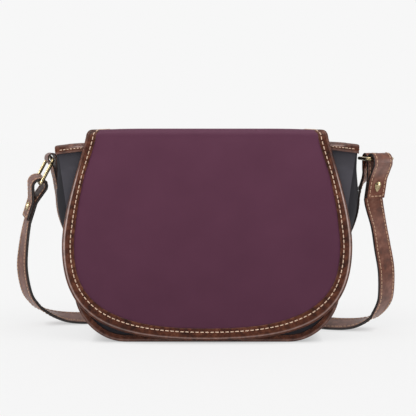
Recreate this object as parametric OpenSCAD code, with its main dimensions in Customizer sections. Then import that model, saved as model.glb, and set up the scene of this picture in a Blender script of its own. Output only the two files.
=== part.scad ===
// Saddle handbag: a stiffened cloth body with a bulging gusset, bound and trimmed in leather,
// a wide flap that folds over the top in two creases, and a flat shoulder strap that is
// buttoned round two rectangular rings. The bag stands on its flat base.
// X runs to the right of someone facing the flap, Y runs to the back, Z runs up.
// The origin is the middle of the underside, on the floor.

/* [Body] */
// Width across the top edge of the front
bag_w = 295; // [268:1:323]
// Height of the body's rim over the floor
rim_h = 195; // [180:1:205]
// Depth from the face of the front cloth to the face of the back cloth
bag_d = 80; // [72:1:92]
// Width of the flat part of the base
base_w = 160; // [130:1:180]
// How far the gusset bulges out at the middle of the depth
bulge = 13; // [7:0.5:14]
// Thickness of the stiffened cloth panels
panel_t = 2; // [1.6:0.1:2.6]
// Thickness of the lining cloth
lining_t = 0.6; // [0.4:0.1:1]
// Thickness of the stiffening board in the base
board_t = 2; // [1.5:0.1:3]

/* [Leather trim] */
// Thickness of the binding and trim leather
leather_t = 1.1; // [0.8:0.1:1.4]
// Width of the binding that shows round the body's edge
body_bind_w = 7; // [6:0.5:9]
// Height over the floor where the binding of the body's edge ends, behind the flap
body_bind_top = 92; // [75:1:105]
// Height of the stitched band along the rim
trim_h = 9; // [7:0.5:12]
// Width of the binding round the flap
flap_bind_w = 12; // [9:0.5:15]

/* [Flap] */
// Width of the flap at its front crease
flap_top_w = 234; // [222:1:246]
// Width of the flap at its widest
flap_max_w = 283; // [272:1:296]
// Height of the top of the flap over the floor
flap_top_h = 210; // [208:1:214]
// Height of the flap's lowest edge over the floor
flap_low_h = 2.2; // [1.5:0.1:12]
// Height over the floor where the flap is widest
flap_wide_h = 94; // [80:1:110]
// Width of the flap at its back crease
flap_back_w = 218; // [206:1:226]
// How far the flap runs down the back to where it is sewn on
root_h = 56; // [40:1:80]
// Outer radius of the two creases
crease_r = 8; // [7:0.5:9]
// How far the flap's sides draw in over the front crease
crease_draw = 5.5; // [3:0.5:7]

/* [Snap] */
// Diameter of the magnetic snap
snap_d = 16; // [13:0.5:20]
// Diameter of the snap's middle stud
snap_pin_d = 4.4; // [3.5:0.1:6]
// Height of the snap over the floor
snap_h = 46; // [38:1:60]

/* [Tabs and rings] */
// Width of the leather tabs on the gusset
tab_w = 15; // [12:0.5:17]
// Thickness of the tab leather
tab_t = 1.5; // [1.2:0.1:1.8]
// Height of the tab loops over the floor
tab_z = 180; // [170:1:182]
// Height of the lower end of each tab over the floor
tab_low_z = 96; // [85:1:110]
// Inner radius of the tab loops
tab_loop_r = 3.7; // [3.5:0.1:4.2]
// Turn of the left tab loop
tab_turn_left = 22; // [16:1:24]
// Turn of the right tab loop
tab_turn_right = 69; // [67:1:71]
// How far the ring pulls the right tab loop off the gusset
tab_pull_right = 6.2; // [6.2:0.1:8]
// Thickness of the ring wire
wire_d = 3.5; // [3:0.1:3.8]
// Distance between the two long bars of a ring
ring_reach = 27; // [24:0.5:29]
// Turn of the right ring
ring_turn_right = 80; // [78:1:81]
// Hang of the left ring below level
ring_hang_left = 61.5; // [56:0.5:66]

/* [Strap] */
// Width of the strap
strap_w = 20; // [17:0.5:21]
// Thickness of the strap
strap_t = 3; // [2.4:0.1:3.4]
// How far the strap swings out past the body's top edge
strap_out = 42.5; // [38:0.5:50]
// How far the strap lies behind the back of the body
strap_behind = 40; // [36:1:60]
// Inner radius of the strap's end loops
strap_loop_r = 5.5; // [5.2:0.1:6]
// Length of the folded strap end, from the ring bar to its cut edge
tail_len = 40; // [35:0.5:42]
// Distance from the ring bar down to the stud
stud_drop = 26; // [25:0.5:28]
// Width of the stud's head
stud_w = 6.8; // [5:0.1:8]

/* [Hidden] */
// Clearance between two sewn or seated pieces
fit = 0.1;
// Clearance of the loosely seated pieces
ease = 0.3;
// Overrun of the cutting tools
over = 5;
// How far the binding wraps in past the panel
bind_wrap = 3;
// Samples along the body's side, along its lower corner, along the flap's two curves
side_n = 12;
corner_n = 12;
flap_n = 16;
// Samples round a crease, half a tab loop, half a strap loop
crease_n = 6;
tab_n = 6;
loop_n = 8;
$fn = 48;

// The body's outline, right half: side curve and lower corner as shares of size
half_w = bag_w / 2;
side_low_share = 0.882;
side_low_h_share = 0.231;
side_mid_shares = [0.923, 0.575];
corner_top_shares = [0.868, 0.128];
corner_low_shares = [0.735, 0.002];
side_curve = [
    [half_w, rim_h],
    [half_w * 0.955, rim_h * 0.80],
    [half_w * side_mid_shares[0], rim_h * side_mid_shares[1]],
    [half_w * side_low_share, rim_h * side_low_h_share]
];
corner_curve = [
    side_curve[3],
    [half_w * corner_top_shares[0], rim_h * corner_top_shares[1]],
    [half_w * corner_low_shares[0], 0],
    [base_w / 2, 0]
];
// Bulge of the gusset by height, as shares of the rim's height and of the full bulge
bulge_shares = [[0, 0], [0.33, 0.03], [0.41, 0.13], [0.49, 0.4], [0.555, 0.72], [0.6, 0.9],
    [0.645, 1], [0.7, 1], [0.75, 0.96], [0.805, 0.84], [0.87, 0.49], [0.93, 0.34], [1, 0.18]];

function unit(v) = v / norm(v);
function bez(p, t) = p[0] * pow(1 - t, 3) + 3 * p[1] * pow(1 - t, 2) * t
    + 3 * p[2] * (1 - t) * t * t + p[3] * pow(t, 3);
function bez_way(p, t) = unit((p[1] - p[0]) * pow(1 - t, 2) + 2 * (p[2] - p[1]) * (1 - t) * t
    + (p[3] - p[2]) * t * t);
function side_of(d) = [-d[1], d[0]];
function inset_at(p, t, inset) = bez(p, t) - side_of(bez_way(p, t)) * inset;
function mirrored(pts) = [for (i = [len(pts) - 1 : -1 : 0]) [-pts[i][0], pts[i][1]]];
// x on the body's side near the rim, at a height and an inset
function rim_x(inset, z) = let (a = inset_at(side_curve, 0, inset), d = bez_way(side_curve, 0))
    a[0] + (z - a[1]) * d[0] / d[1];
// the right half of the body, from a top height down to the middle of the base
function body_half(inset, top) = concat(
    [[rim_x(inset, top), top]],
    [for (i = [1 : side_n]) let (q = inset_at(side_curve, i / side_n, inset)) if (q[1] < top - fit) q],
    [for (i = [1 : corner_n]) inset_at(corner_curve, i / corner_n, inset)]
);
function body_outline(inset, top) = concat(body_half(inset, top), mirrored(body_half(inset, top)));
// the side's x at any height, for what is sewn on the gusset
side_table = [for (q = concat([for (i = [corner_n : -1 : 1]) inset_at(corner_curve, i / corner_n, 0)],
    [for (i = [side_n : -1 : 0]) inset_at(side_curve, i / side_n, 0)])) [q[1], q[0]]];
function gusset_x(z) = lookup(z, side_table) + bulge * lookup(z / rim_h, bulge_shares);

// Layers, from the outside in
edge_in = leather_t + fit;
front_y = -bag_d / 2;
back_y = bag_d / 2;
panel_top = rim_h - leather_t - fit;
gusset_in_y = bag_d / 2 - panel_t - fit;
wrap_y = gusset_in_y - bind_wrap;
// the snap's back plate lies between panel and lining
snap_plate_t = 0.8;
lining_y = gusset_in_y - snap_plate_t - fit;
trim_in_y = lining_y - lining_t - leather_t;
flap_clear = 0.5;
flap_lining_t = 0.8;
flap_t = 2 * leather_t + 3 * fit + panel_t + flap_lining_t;
flap_in_y = bag_d / 2 + leather_t + fit + flap_clear;
flap_out_y = flap_in_y + flap_t;
crease_z = flap_top_h - crease_r;
crease_y = flap_out_y - crease_r;

// A 2D outline in X and Z, as a plate between two depths
module plate(y0, y1) {
    translate([0, y1, 0]) rotate([90, 0, 0]) linear_extrude(y1 - y0) children();
}
// A 2D profile in Y and Z, as a bar across the width
module across(w) {
    translate([-w / 2, 0, 0]) rotate([90, 0, 90]) linear_extrude(w) children();
}

module body_shape(inset, top) { polygon(body_outline(inset, top)); }

// A closed sheet between two grids of points, each a list of rows
module sheet_between(a, b) {
    n = len(a);
    m = len(a[0]);
    function ia(i, j) = i * m + j;
    function ib(i, j) = n * m + i * m + j;
    pts = concat([for (r = a) for (p = r) p], [for (r = b) for (p = r) p]);
    faces = concat(
        [for (i = [0 : n - 2]) for (j = [0 : m - 2]) for (k = [0 : 1])
            k == 0 ? [ia(i, j), ia(i + 1, j), ia(i + 1, j + 1)] : [ia(i, j), ia(i + 1, j + 1), ia(i, j + 1)]],
        [for (i = [0 : n - 2]) for (j = [0 : m - 2]) for (k = [0 : 1])
            k == 0 ? [ib(i, j), ib(i + 1, j + 1), ib(i + 1, j)] : [ib(i, j), ib(i, j + 1), ib(i + 1, j + 1)]],
        [for (i = [0 : n - 2]) for (k = [0 : 1])
            k == 0 ? [ia(i, 0), ib(i + 1, 0), ia(i + 1, 0)] : [ia(i, 0), ib(i, 0), ib(i + 1, 0)]],
        [for (i = [0 : n - 2]) for (k = [0 : 1])
            k == 0 ? [ia(i, m - 1), ia(i + 1, m - 1), ib(i + 1, m - 1)]
                : [ia(i, m - 1), ib(i + 1, m - 1), ib(i, m - 1)]],
        [for (j = [0 : m - 2]) for (k = [0 : 1])
            k == 0 ? [ia(0, j), ia(0, j + 1), ib(0, j + 1)] : [ia(0, j), ib(0, j + 1), ib(0, j)]],
        [for (j = [0 : m - 2]) for (k = [0 : 1])
            k == 0 ? [ia(n - 1, j), ib(n - 1, j + 1), ia(n - 1, j + 1)]
                : [ia(n - 1, j), ib(n - 1, j), ib(n - 1, j + 1)]]
    );
    polyhedron(pts, faces);
}

// A flat strip swept along centres, with its width direction at each
module band(c, v, w, t) {
    n = len(c);
    way = [for (i = [0 : n - 1]) unit(c[min(i + 1, n - 1)] - c[max(i - 1, 0)])];
    wid = [for (i = [0 : n - 1]) unit(v[i] - (v[i] * way[i]) * way[i])];
    nor = [for (i = [0 : n - 1]) cross(way[i], wid[i])];
    pts = [for (i = [0 : n - 1]) for (s = [[-1, -1], [1, -1], [1, 1], [-1, 1]])
        c[i] + wid[i] * s[0] * w / 2 + nor[i] * s[1] * t / 2];
    faces = concat(
        [[0, 1, 2], [0, 2, 3]],
        [[4 * n - 4, 4 * n - 2, 4 * n - 3], [4 * n - 4, 4 * n - 1, 4 * n - 2]],
        [for (i = [0 : n - 2]) for (j = [0 : 3]) for (k = [0 : 1])
            let (a = 4 * i + j, b = 4 * i + (j + 1) % 4, d = a + 4, e = b + 4)
            k == 0 ? [a, d, e] : [a, e, b]]
    );
    polyhedron(pts, faces);
}

// Body
module side_panel(y0) {
    difference() {
        plate(y0, y0 + panel_t) body_shape(edge_in, panel_top);
        if (y0 < 0) snap_hole();
    }
}
module snap_hole() {
    translate([0, front_y - over, snap_h]) rotate([-90, 0, 0]) cylinder(d = snap_pin_d + 2 * fit, h = 2 * over + panel_t);
}
module front_panel() { color("#474549") side_panel(front_y); }
module back_panel() { color("#474549") side_panel(back_y - panel_t); }

// The gusset runs down one side, under the base and up the other
gusset_ys = [-gusset_in_y, -wrap_y - fit, -wrap_y + bind_wrap * 0.7, -gusset_in_y * 0.68, -gusset_in_y * 0.36, 0,
    gusset_in_y * 0.36, gusset_in_y * 0.68, wrap_y - bind_wrap * 0.7, wrap_y + fit, gusset_in_y];
function swell(y) = abs(y) >= wrap_y ? 0 : pow(cos(90 * y / wrap_y), 1.2);
function full(y) = abs(y) >= wrap_y ? 0 : 1;
gusset_line = [for (q = body_half(edge_in, panel_top)) q];
function gusset_half(depth, y) = [for (i = [0 : len(gusset_line) - 1]) let (
        q = body_half(edge_in + depth, panel_top)[i],
        out = body_half(edge_in * (1 - full(y)) + depth, panel_top)[i],
        z = gusset_line[i][1])
    [out[0] + bulge * lookup(z / rim_h, bulge_shares) * swell(y), out[1]]];
// x of the gusset's face, a depth into its cloth, along its width and up its height
function gusset_face(depth, y, z) = lookup(y, [for (row = gusset_ys)
    [row, lookup(z, [for (q = gusset_half(depth, row)) [q[1], q[0]]])]]);
function gusset_row(depth, y) = let (h = gusset_half(depth, y))
    [for (q = concat(h, mirrored(h))) [q[0], y, q[1]]];
module gusset() {
    color("#3f3d41") sheet_between([for (y = gusset_ys) gusset_row(0, y)], [for (y = gusset_ys) gusset_row(panel_t, y)]);
}

module base_board() {
    color("#8a7a66") translate([-base_w / 2, -wrap_y + over, panel_t + fit])
        cube([base_w, 2 * (wrap_y - over), board_t]);
}

// The lining is an open-topped cloth bag inside the panels
lining_in = panel_t + max(board_t, edge_in) + 2 * fit + ease;
module lining() {
    color("#2b2b2e") difference() {
        plate(-lining_y, lining_y) body_shape(lining_in, panel_top - leather_t);
        plate(-lining_y + lining_t, lining_y - lining_t) body_shape(lining_in + lining_t, rim_h + over);
    }
}

// Stitched bands folded over the rim, front and back
module rim_band(s) {
    low = rim_h - trim_h;
    in_x = rim_x(lining_in + lining_t, low) - fit;
    color("#5c3128") mirror([0, s > 0 ? 1 : 0, 0]) {
        plate(front_y - fit - leather_t, front_y - fit)
            polygon([[rim_x(0, rim_h), rim_h], [rim_x(0, low), low], [-rim_x(0, low), low], [-rim_x(0, rim_h), rim_h]]);
        plate(front_y - fit, -trim_in_y + fit)
            polygon([[rim_x(0, rim_h), rim_h], [rim_x(0, rim_h), rim_h - leather_t],
                [-rim_x(0, rim_h), rim_h - leather_t], [-rim_x(0, rim_h), rim_h]]);
        plate(-trim_in_y - leather_t + fit, -trim_in_y + fit)
            polygon([[in_x, rim_h - leather_t], [in_x, low], [-in_x, low], [-in_x, rim_h - leather_t]]);
    }
}
module front_rim_band() { rim_band(-1); }
module back_rim_band() { rim_band(1); }

// Binding round the bound seam, below the rim band: a face band and a wrap over the edge
module body_binding(s) {
    low = rim_h - trim_h - fit;
    color("#5a3027") mirror([0, s > 0 ? 1 : 0, 0]) intersection() {
        difference() {
            plate(front_y - fit - leather_t, -wrap_y) body_shape(0, low);
            plate(front_y - fit, -wrap_y + over) body_shape(leather_t, low + over);
            plate(front_y - over, front_y) body_shape(body_bind_w, low + over);
        }
        plate(-bag_d, bag_d) translate([-bag_w, -over]) square([2 * bag_w, body_bind_top + over]);
    }
}
module front_binding() { body_binding(-1); }
module back_binding() { body_binding(1); }

// Leather folded over the gusset's top edge
module gusset_trim(side) {
    y_end = trim_in_y - fit - ease;
    low = rim_h - trim_h;
    // the same rows as the gusset's, so that the two lie alike
    ys = concat([-y_end], [for (y = gusset_ys) if (abs(y) < y_end - fit) y], [y_end]);
    function profile(y) = let (
            xt = gusset_face(0, y, rim_h) + ease, xl = gusset_face(0, y, low) + ease,
            nt = gusset_face(panel_t, y, rim_h) - ease, nl = gusset_face(panel_t, y, low) - ease)
        [[xl + leather_t, low], [xt + leather_t, rim_h], [nt - leather_t, rim_h], [nl - leather_t, low],
            [nl, low], [nt, rim_h - leather_t], [xt, rim_h - leather_t], [xl, low]];
    n = len(ys);
    m = 8;
    pts = [for (y = ys) for (q = profile(y)) [side * q[0], y, q[1]]];
    caps = [[7, 6, 1], [7, 1, 0], [6, 5, 2], [6, 2, 1], [5, 4, 3], [5, 3, 2]];
    faces = concat(
        [for (c = caps) [c[0], c[1], c[2]]],
        [for (c = caps) [(n - 1) * m + c[0], (n - 1) * m + c[2], (n - 1) * m + c[1]]],
        [for (i = [0 : n - 2]) for (j = [0 : m - 1]) for (k = [0 : 1])
            let (a = i * m + j, b = i * m + (j + 1) % m, d = a + m, e = b + m)
            k == 0 ? [a, e, d] : [a, b, e]]
    );
    turned = side < 0 ? [for (f = faces) [f[0], f[2], f[1]]] : faces;
    color("#5c3128") polyhedron(pts, turned);
}
module gusset_trim_left() { gusset_trim(-1); }
module gusset_trim_right() { gusset_trim(1); }

// Flap, in three stretches parted at its two creases
flap_half_top = flap_top_w / 2;
flap_half_max = flap_max_w / 2;
flap_upper = [
    [flap_half_top, flap_top_h - crease_r],
    [flap_half_top + (flap_half_max - flap_half_top) * 0.25, flap_wide_h + (flap_top_h - flap_wide_h) * 0.69],
    [flap_half_max, flap_wide_h + (flap_top_h - flap_wide_h) * 0.3],
    [flap_half_max, flap_wide_h]
];
flap_lower = [
    [flap_half_max, flap_wide_h],
    [flap_half_max, flap_low_h + (flap_wide_h - flap_low_h) * 0.23],
    [flap_half_max * 0.62, flap_low_h],
    [0, flap_low_h]
];
function flap_half(inset) = concat(
    [for (i = [crease_n : -1 : 1]) let (k = i / crease_n)
        [flap_half_top - inset - crease_draw * k * k, crease_z + crease_r * sin(90 * k)]],
    [for (i = [0 : flap_n]) inset_at(flap_upper, i / flap_n, inset)],
    [for (i = [1 : flap_n]) inset_at(flap_lower, i / flap_n, inset)]
);
module flap_shape(inset) {
    polygon(concat(flap_half(inset), mirrored(flap_half(inset))));
}
// Y-Z profile of the front stretch between two depths below the outer face
function arc_pts(r, a0, a1, cy) = [for (i = [0 : crease_n]) let (a = a0 + (a1 - a0) * i / crease_n)
    [cy + r * cos(a), crease_z + r * sin(a)]];
module front_profile(d0, d1) {
    polygon(concat(
        [[-flap_out_y + d0, 0]],
        arc_pts(crease_r - d0, 180, 135 + crease_part, -crease_y),
        arc_pts(crease_r - d1, 135 + crease_part, 180, -crease_y),
        [[-flap_out_y + d1, 0]]
    ));
}
// half the slit in the crease, as an angle
crease_part = 1;
module crown_profile(d0, d1) {
    polygon(concat(
        arc_pts(crease_r - d0, 135 - crease_part, 90, -crease_y),
        arc_pts(crease_r - d0, 90, 45 + crease_part, crease_y),
        arc_pts(crease_r - d1, 45 + crease_part, 90, crease_y),
        arc_pts(crease_r - d1, 90, 135 - crease_part, -crease_y)
    ));
}
module root_profile(d0, d1, low) {
    polygon(concat(
        arc_pts(crease_r - d0, 45 - crease_part, 0, crease_y),
        [[flap_out_y - d0, low], [flap_out_y - d1, low]],
        arc_pts(crease_r - d1, 0, 45 - crease_part, crease_y)
    ));
}
cloth_0 = leather_t + fit;
cloth_1 = cloth_0 + panel_t;
under_0 = cloth_1 + fit;
under_1 = under_0 + flap_lining_t;
bind_1 = flap_t;

module flap_layer(d0, d1, inset) {
    intersection() {
        across(flap_max_w + over) front_profile(d0, d1);
        plate(-flap_out_y - over, 0) flap_shape(inset);
    }
}
module flap_panel() { color("#54303f") flap_layer(cloth_0, cloth_1, edge_in); }
module flap_lining() { color("#2b2b2e") flap_layer(under_0, under_1, edge_in); }
module flap_binding() {
    color("#55291f") difference() {
        flap_layer(0, bind_1, 0);
        flap_layer(leather_t, flap_t - leather_t, leather_t);
        plate(-flap_out_y - over, over) flap_shape(flap_bind_w);
        crease_trim(-1);
    }
}
// the binding has a slit at the crease, so that its two stretches don't rub
module crease_trim(s) {
    translate([-flap_max_w, s * crease_y, crease_z]) rotate([s < 0 ? 135 : 45, 0, 0])
        translate([0, 0, -fit]) cube([2 * flap_max_w, 2 * crease_r, 2 * fit]);
}

// Crown outline in X and Y: its sides draw in over the front crease, and slightly towards the back
function crown_half(y, inset) = (y < -crease_y
    ? flap_half_top - crease_draw * pow(acos(min(1, (-y - crease_y) / crease_r)) / 90, 2)
    : flap_back_w / 2 + (flap_half_top - crease_draw - flap_back_w / 2) * max(0, crease_y - y) / (2 * crease_y)) - inset;
module crown_shape(inset) {
    ys = concat([for (i = [0 : crease_n]) -crease_y - crease_r * cos(90 * i / crease_n)], [crease_y, flap_out_y]);
    right = [for (y = ys) [crown_half(y, inset), y]];
    polygon(concat(right, [for (i = [len(right) - 1 : -1 : 0]) [-right[i][0], right[i][1]]]));
}
module crown_layer(d0, d1, inset) {
    intersection() {
        across(flap_max_w + over) crown_profile(d0, d1);
        translate([0, 0, crease_z - over]) linear_extrude(crease_r + 2 * over) crown_shape(inset);
    }
}
module crown_panel() { color("#54303f") crown_layer(cloth_0, cloth_1, edge_in); }
module crown_lining() { color("#2b2b2e") crown_layer(under_0, under_1, edge_in); }
module crown_binding(side) {
    color("#55291f") difference() {
        intersection() {
            crown_layer(0, bind_1, 0);
            translate([side > 0 ? 0 : -flap_max_w, -flap_max_w, 0]) cube([flap_max_w, 2 * flap_max_w, flap_top_h + over]);
        }
        crown_layer(leather_t, flap_t - leather_t, leather_t);
        translate([0, 0, crease_z - over]) linear_extrude(crease_r + 2 * over) crown_shape(flap_bind_w);
    }
}
module crown_binding_left() { crown_binding(-1); }
module crown_binding_right() { crown_binding(1); }

// The root of the flap lies on the back panel and is sewn there
root_low = flap_top_h - root_h;
root_half = crown_half(flap_out_y, 0);
root_corner = root_h * 0.4;
module root_shape(inset) {
    r = root_corner - inset;
    hull_pts = [for (i = [0 : crease_n]) let (a = -90 * i / crease_n)
        [root_half - inset - r + r * cos(a), root_low + inset + r + r * sin(a)]];
    polygon(concat([[root_half - inset, flap_top_h + over]], hull_pts, mirrored(hull_pts),
        [[-root_half + inset, flap_top_h + over]]));
}
module root_layer(d0, d1, inset) {
    intersection() {
        across(flap_max_w + over) root_profile(d0, d1, root_low - over);
        plate(0, flap_out_y + over) root_shape(inset);
    }
}
module root_panel() { color("#54303f") root_layer(cloth_0, cloth_1, edge_in); }
module root_lining() { color("#2b2b2e") root_layer(under_0, under_1, edge_in); }
module root_binding() {
    color("#55291f") difference() {
        root_layer(0, bind_1, 0);
        root_layer(leather_t, flap_t - leather_t, leather_t);
        plate(-over, flap_out_y + over) root_shape(flap_bind_w);
    }
}

// Magnetic snap
snap_gap_y = flap_in_y + leather_t + fit;
socket_t = (snap_gap_y - bag_d / 2) * 0.56;
snap_stud_t = (snap_gap_y - bag_d / 2) * 0.26;
snap_pin_clear = 1.3;
module snap_disc(y0, t, d) {
    translate([0, y0, snap_h]) rotate([-90, 0, 0]) cylinder(d = d, h = t);
}
module snap_socket() {
    color("#b9a46f") difference() {
        union() {
            snap_disc(front_y - fit - socket_t, socket_t, snap_d);
            snap_disc(front_y - fit - leather_t / 2, panel_t + snap_plate_t + 2 * fit + leather_t / 2, snap_pin_d);
        }
        snap_disc(front_y - fit - socket_t - over, over + socket_t * 0.8, snap_pin_d + 2 * snap_pin_clear);
    }
}
module snap_socket_plate() {
    color("#b9a46f") difference() {
        snap_disc(front_y + panel_t + fit, snap_plate_t, snap_d);
        snap_disc(front_y, over, snap_pin_d + 2 * fit);
    }
}
module snap_stud() {
    color("#b9a46f") union() {
        snap_disc(-snap_gap_y + fit, snap_stud_t, snap_d * 0.9);
        snap_disc(-snap_gap_y + fit + snap_stud_t * 0.5, snap_stud_t * 0.5 + socket_t * 0.7, snap_pin_d * 0.9);
    }
}

// Tabs: a strip sewn up the gusset, folded round the ring's bar
tab_fold_z = tab_z - 2.2 * tab_loop_r;
tab_in_low_z = tab_z - (tab_z - tab_low_z) * 0.4;
tab_r = tab_loop_r + tab_t / 2;
function smooth(k) = let (c = min(1, max(0, k))) c * c * (3 - 2 * c);
function tab_turn(z, turn) = turn * smooth((z - tab_in_low_z) / (tab_fold_z - tab_in_low_z));
function tab_n_dir(a) = [cos(a), -sin(a), 0];
function tab_w_dir(a) = [sin(a), cos(a), 0];
function tab_base(z, turn, pull) = let (a = tab_turn(z, turn))
    [gusset_x(z) + fit + tab_w / 2 * sin(a) + pull * a / max(turn, 1), 0, z];
function tab_centre(turn, pull) = tab_base(tab_z, turn, pull) + tab_n_dir(turn) * (tab_loop_r + tab_t);
tab_tight_shares = [0, 0.12, 0.24, 0.36, 0.48, 0.6];
tab_up_shares = [0, 0.3, 0.6, 1];
tab_out_off = 1.5 * tab_t + fit;
function tab_path(turn, pull) = concat(
    // outer ply, from its lower end up to where the inner ply begins
    [for (s = tab_tight_shares) let (z = tab_low_z + (tab_z - tab_low_z) * s * 0.9)
        [tab_base(z, turn, pull) + tab_n_dir(tab_turn(z, turn))
            * (tab_t / 2 + (tab_out_off - tab_t / 2) * smooth((z - tab_in_low_z + over * 2) / (over * 1.6))),
            tab_turn(z, turn)]],
    [for (s = tab_up_shares) let (z = tab_in_low_z + (tab_fold_z - tab_in_low_z) * (0.28 + 0.72 * s))
        [tab_base(z, turn, pull) + tab_n_dir(tab_turn(z, turn))
            * (tab_out_off + (2 * tab_loop_r + tab_t - tab_t) * 0.28 * smooth((s - 0.35) / 0.65)),
            tab_turn(z, turn)]],
    // round the loop, from the outer side over the top to the inner side
    [for (i = [0 : 2 * tab_n]) let (a = -25 + (180 + 25) * i / (2 * tab_n))
        [tab_centre(turn, pull) + (tab_n_dir(turn) * cos(a) + [0, 0, 1] * sin(a)) * tab_r, turn]],
    // inner ply, back down the gusset
    [for (s = [0.82, 0.6, 0.4, 0.2, 0.04]) let (z = tab_in_low_z + (tab_z - tab_in_low_z) * s)
        [tab_base(z, turn, pull) + tab_n_dir(tab_turn(z, turn)) * tab_t / 2, tab_turn(z, turn)]]
);
module tab(side, turn, pull) {
    p = tab_path(turn, pull);
    color("#5a3229") mirror([side < 0 ? 1 : 0, 0, 0])
        band([for (q = p) q[0]], [for (q = p) tab_w_dir(q[1])], tab_w, tab_t);
}
module tab_left() { tab(-1, tab_turn_left, 0); }
module tab_right() { tab(1, tab_turn_right, tab_pull_right); }

// Rings
ring_in_w = strap_w + 3.2 * fit * 10;
ring_corner = wire_d * 1.2;
ring_side = ring_in_w / 2 + wire_d / 2;
// direction of each ring from its tab to its strap, and of its bars
ring_way_right = [cos(ring_turn_right), -sin(ring_turn_right), 0];
ring_bar_right = [sin(ring_turn_right), cos(ring_turn_right), 0];
ring_bar_left = unit([-0.30, 0.935, 0.17]);
ring_way_left_flat = [-cos(ring_hang_left), 0, -sin(ring_hang_left)];
ring_way_left = unit(ring_way_left_flat - (ring_way_left_flat * ring_bar_left) * ring_bar_left);
tab_left_c = let (c = tab_centre(tab_turn_left, 0)) [-c[0], c[1], c[2]];
tab_right_c = tab_centre(tab_turn_right, tab_pull_right);

module ring_solid() {
    r = ring_corner;
    for (y = [0, ring_reach]) translate([-ring_side + r, y, 0]) rotate([0, 90, 0]) cylinder(d = wire_d, h = 2 * (ring_side - r));
    for (x = [-ring_side, ring_side]) translate([x, r, 0]) rotate([-90, 0, 0]) cylinder(d = wire_d, h = ring_reach - 2 * r);
    for (q = [[ring_side - r, ring_reach - r, 0], [-ring_side + r, ring_reach - r, 90], [-ring_side + r, r, 180],
        [ring_side - r, r, 270]])
        translate([q[0], q[1], 0]) rotate([0, 0, q[2]]) rotate_extrude(angle = 90) translate([r, 0]) circle(d = wire_d);
}
module ring_at(at, bar, way) {
    n = cross(bar, way);
    color("#b39b63") multmatrix([
        [bar[0], way[0], n[0], at[0]],
        [bar[1], way[1], n[1], at[1]],
        [bar[2], way[2], n[2], at[2]]
    ]) ring_solid();
}
module ring_left() { ring_at(tab_left_c, ring_bar_left, ring_way_left); }
module ring_right() { ring_at(tab_right_c, ring_bar_right, ring_way_right); }

// Strap
strap_x = half_w + strap_out;
strap_y = bag_d / 2 + strap_behind;
lie_tilt = 22;
lie_z = strap_t / 2 * cos(lie_tilt) + strap_w / 2 * sin(lie_tilt) + fit;
bar_right = tab_right_c + ring_way_right * ring_reach;
bar_left = tab_left_c + ring_way_left * ring_reach;
// up direction and width direction of each strap end
up_right = unit([0.085, -0.27, 0.96]);
up_left = unit([0.32, -0.10, 0.94]);
end_turn_right = 69;
wide_right = let (w = [sin(end_turn_right), cos(end_turn_right), 0.05]) unit(w - (w * up_right) * up_right);
wide_left = let (w = [-0.37, 0.90, 0.20]) unit(w - (w * up_left) * up_left);
out_right = cross(-up_right, wide_right);
out_left = cross(up_left, wide_left);
loop_mid = strap_loop_r + strap_t / 2;
// how far the loop's middle lies below the bar
loop_drop = strap_loop_r - wire_d / 2 - 3 * ease;
ply_off = strap_t / 2 + fit / 2;
loop_open = 18;
join_drop = loop_drop + loop_mid * sin(loop_open) + (loop_mid * cos(loop_open) - ply_off) / tan(loop_open);
// a folded end in its own plane, [out, up] from the bar, from the cut edge round to the main strap
end_plane = concat(
    [for (d = [tail_len, (tail_len + join_drop) / 2, join_drop + over * 0.4, join_drop - over * 0.4])
        [ply_off + max(0, join_drop - d) * tan(loop_open) * 0.7, -d]],
    [for (i = [0 : 2 * loop_n]) let (a = -loop_open + (180 + 2 * loop_open) * i / (2 * loop_n))
        [loop_mid * cos(a), -loop_drop + loop_mid * sin(a)]],
    [for (d = [join_drop - over * 0.4, join_drop + over * 0.4, (tail_len + join_drop) / 2, tail_len + over * 0.4])
        [-ply_off - max(0, join_drop - d) * tan(loop_open) * 0.7, -d]]
);
function placed(q, at, out, up) = at + out * q[0] + up * q[1];
// the hanging and lying stretches: shares of the strap's reach out, back and up, then the width direction
route_right_shares = [
    [0.907, -0.1125, 0.628, [0.80, 0.60, 0.05]],
    [0.937, -0.02, 0.485, [0.85, 0.53, 0.03]],
    [0.966, 0.075, 0.342, [0.86, 0.50, 0.05]],
    [0.974, 0.17, 0.197, [0.84, 0.54, 0.05]],
    [0.962, 0.213, 0.128, [0.80, 0.60, 0.04]],
    [0.926, 0.256, 0.064, [0.68, 0.73, 0.06]],
    [0.884, 0.272, 0.033, [0.56, 0.82, 0.13]],
    [0.822, 0.288, 0.010, [0.38, 0.89, 0.25]],
    [0.757, 0.300, 0.001, [0.15, 0.93, 0.34]],
    [0.690, 0.335, 0, [0.12, 0.92, 0.37]],
    [0.640, 0.400, 0, [0.45, 0.81, 0.37]],
    [0.580, 0.545, 0, [0.60, 0.70, 0.37]],
    [0.480, 0.720, 0, [0.45, 0.81, 0.37]],
    [0.260, 0.925, 0, [0.25, 0.90, 0.37]],
    [0, 1, 0, [0, 0.93, 0.37]]
];
route_left_shares = [
    [-0.250, 0.945, 0, [-0.12, 0.92, 0.37]],
    [-0.450, 0.835, 0, [-0.14, 0.92, 0.37]],
    [-0.628, 0.755, 0, [-0.06, 0.93, 0.37]],
    [-0.710, 0.729, 0, [0, 0.93, 0.36]],
    [-0.800, 0.716, 0.008, [-0.22, 0.93, 0.30]],
    [-0.880, 0.678, 0.033, [-0.42, 0.89, 0.15]],
    [-0.938, 0.625, 0.068, [-0.55, 0.83, 0.06]],
    [-0.971, 0.574, 0.106, [-0.60, 0.80, 0.06]],
    [-1.004, 0.481, 0.181, [-0.62, 0.78, 0.06]],
    [-1.016, 0.335, 0.330, [-0.60, 0.80, 0.05]],
    [-0.998, 0.215, 0.479, [-0.50, 0.86, 0.07]]
];
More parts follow.
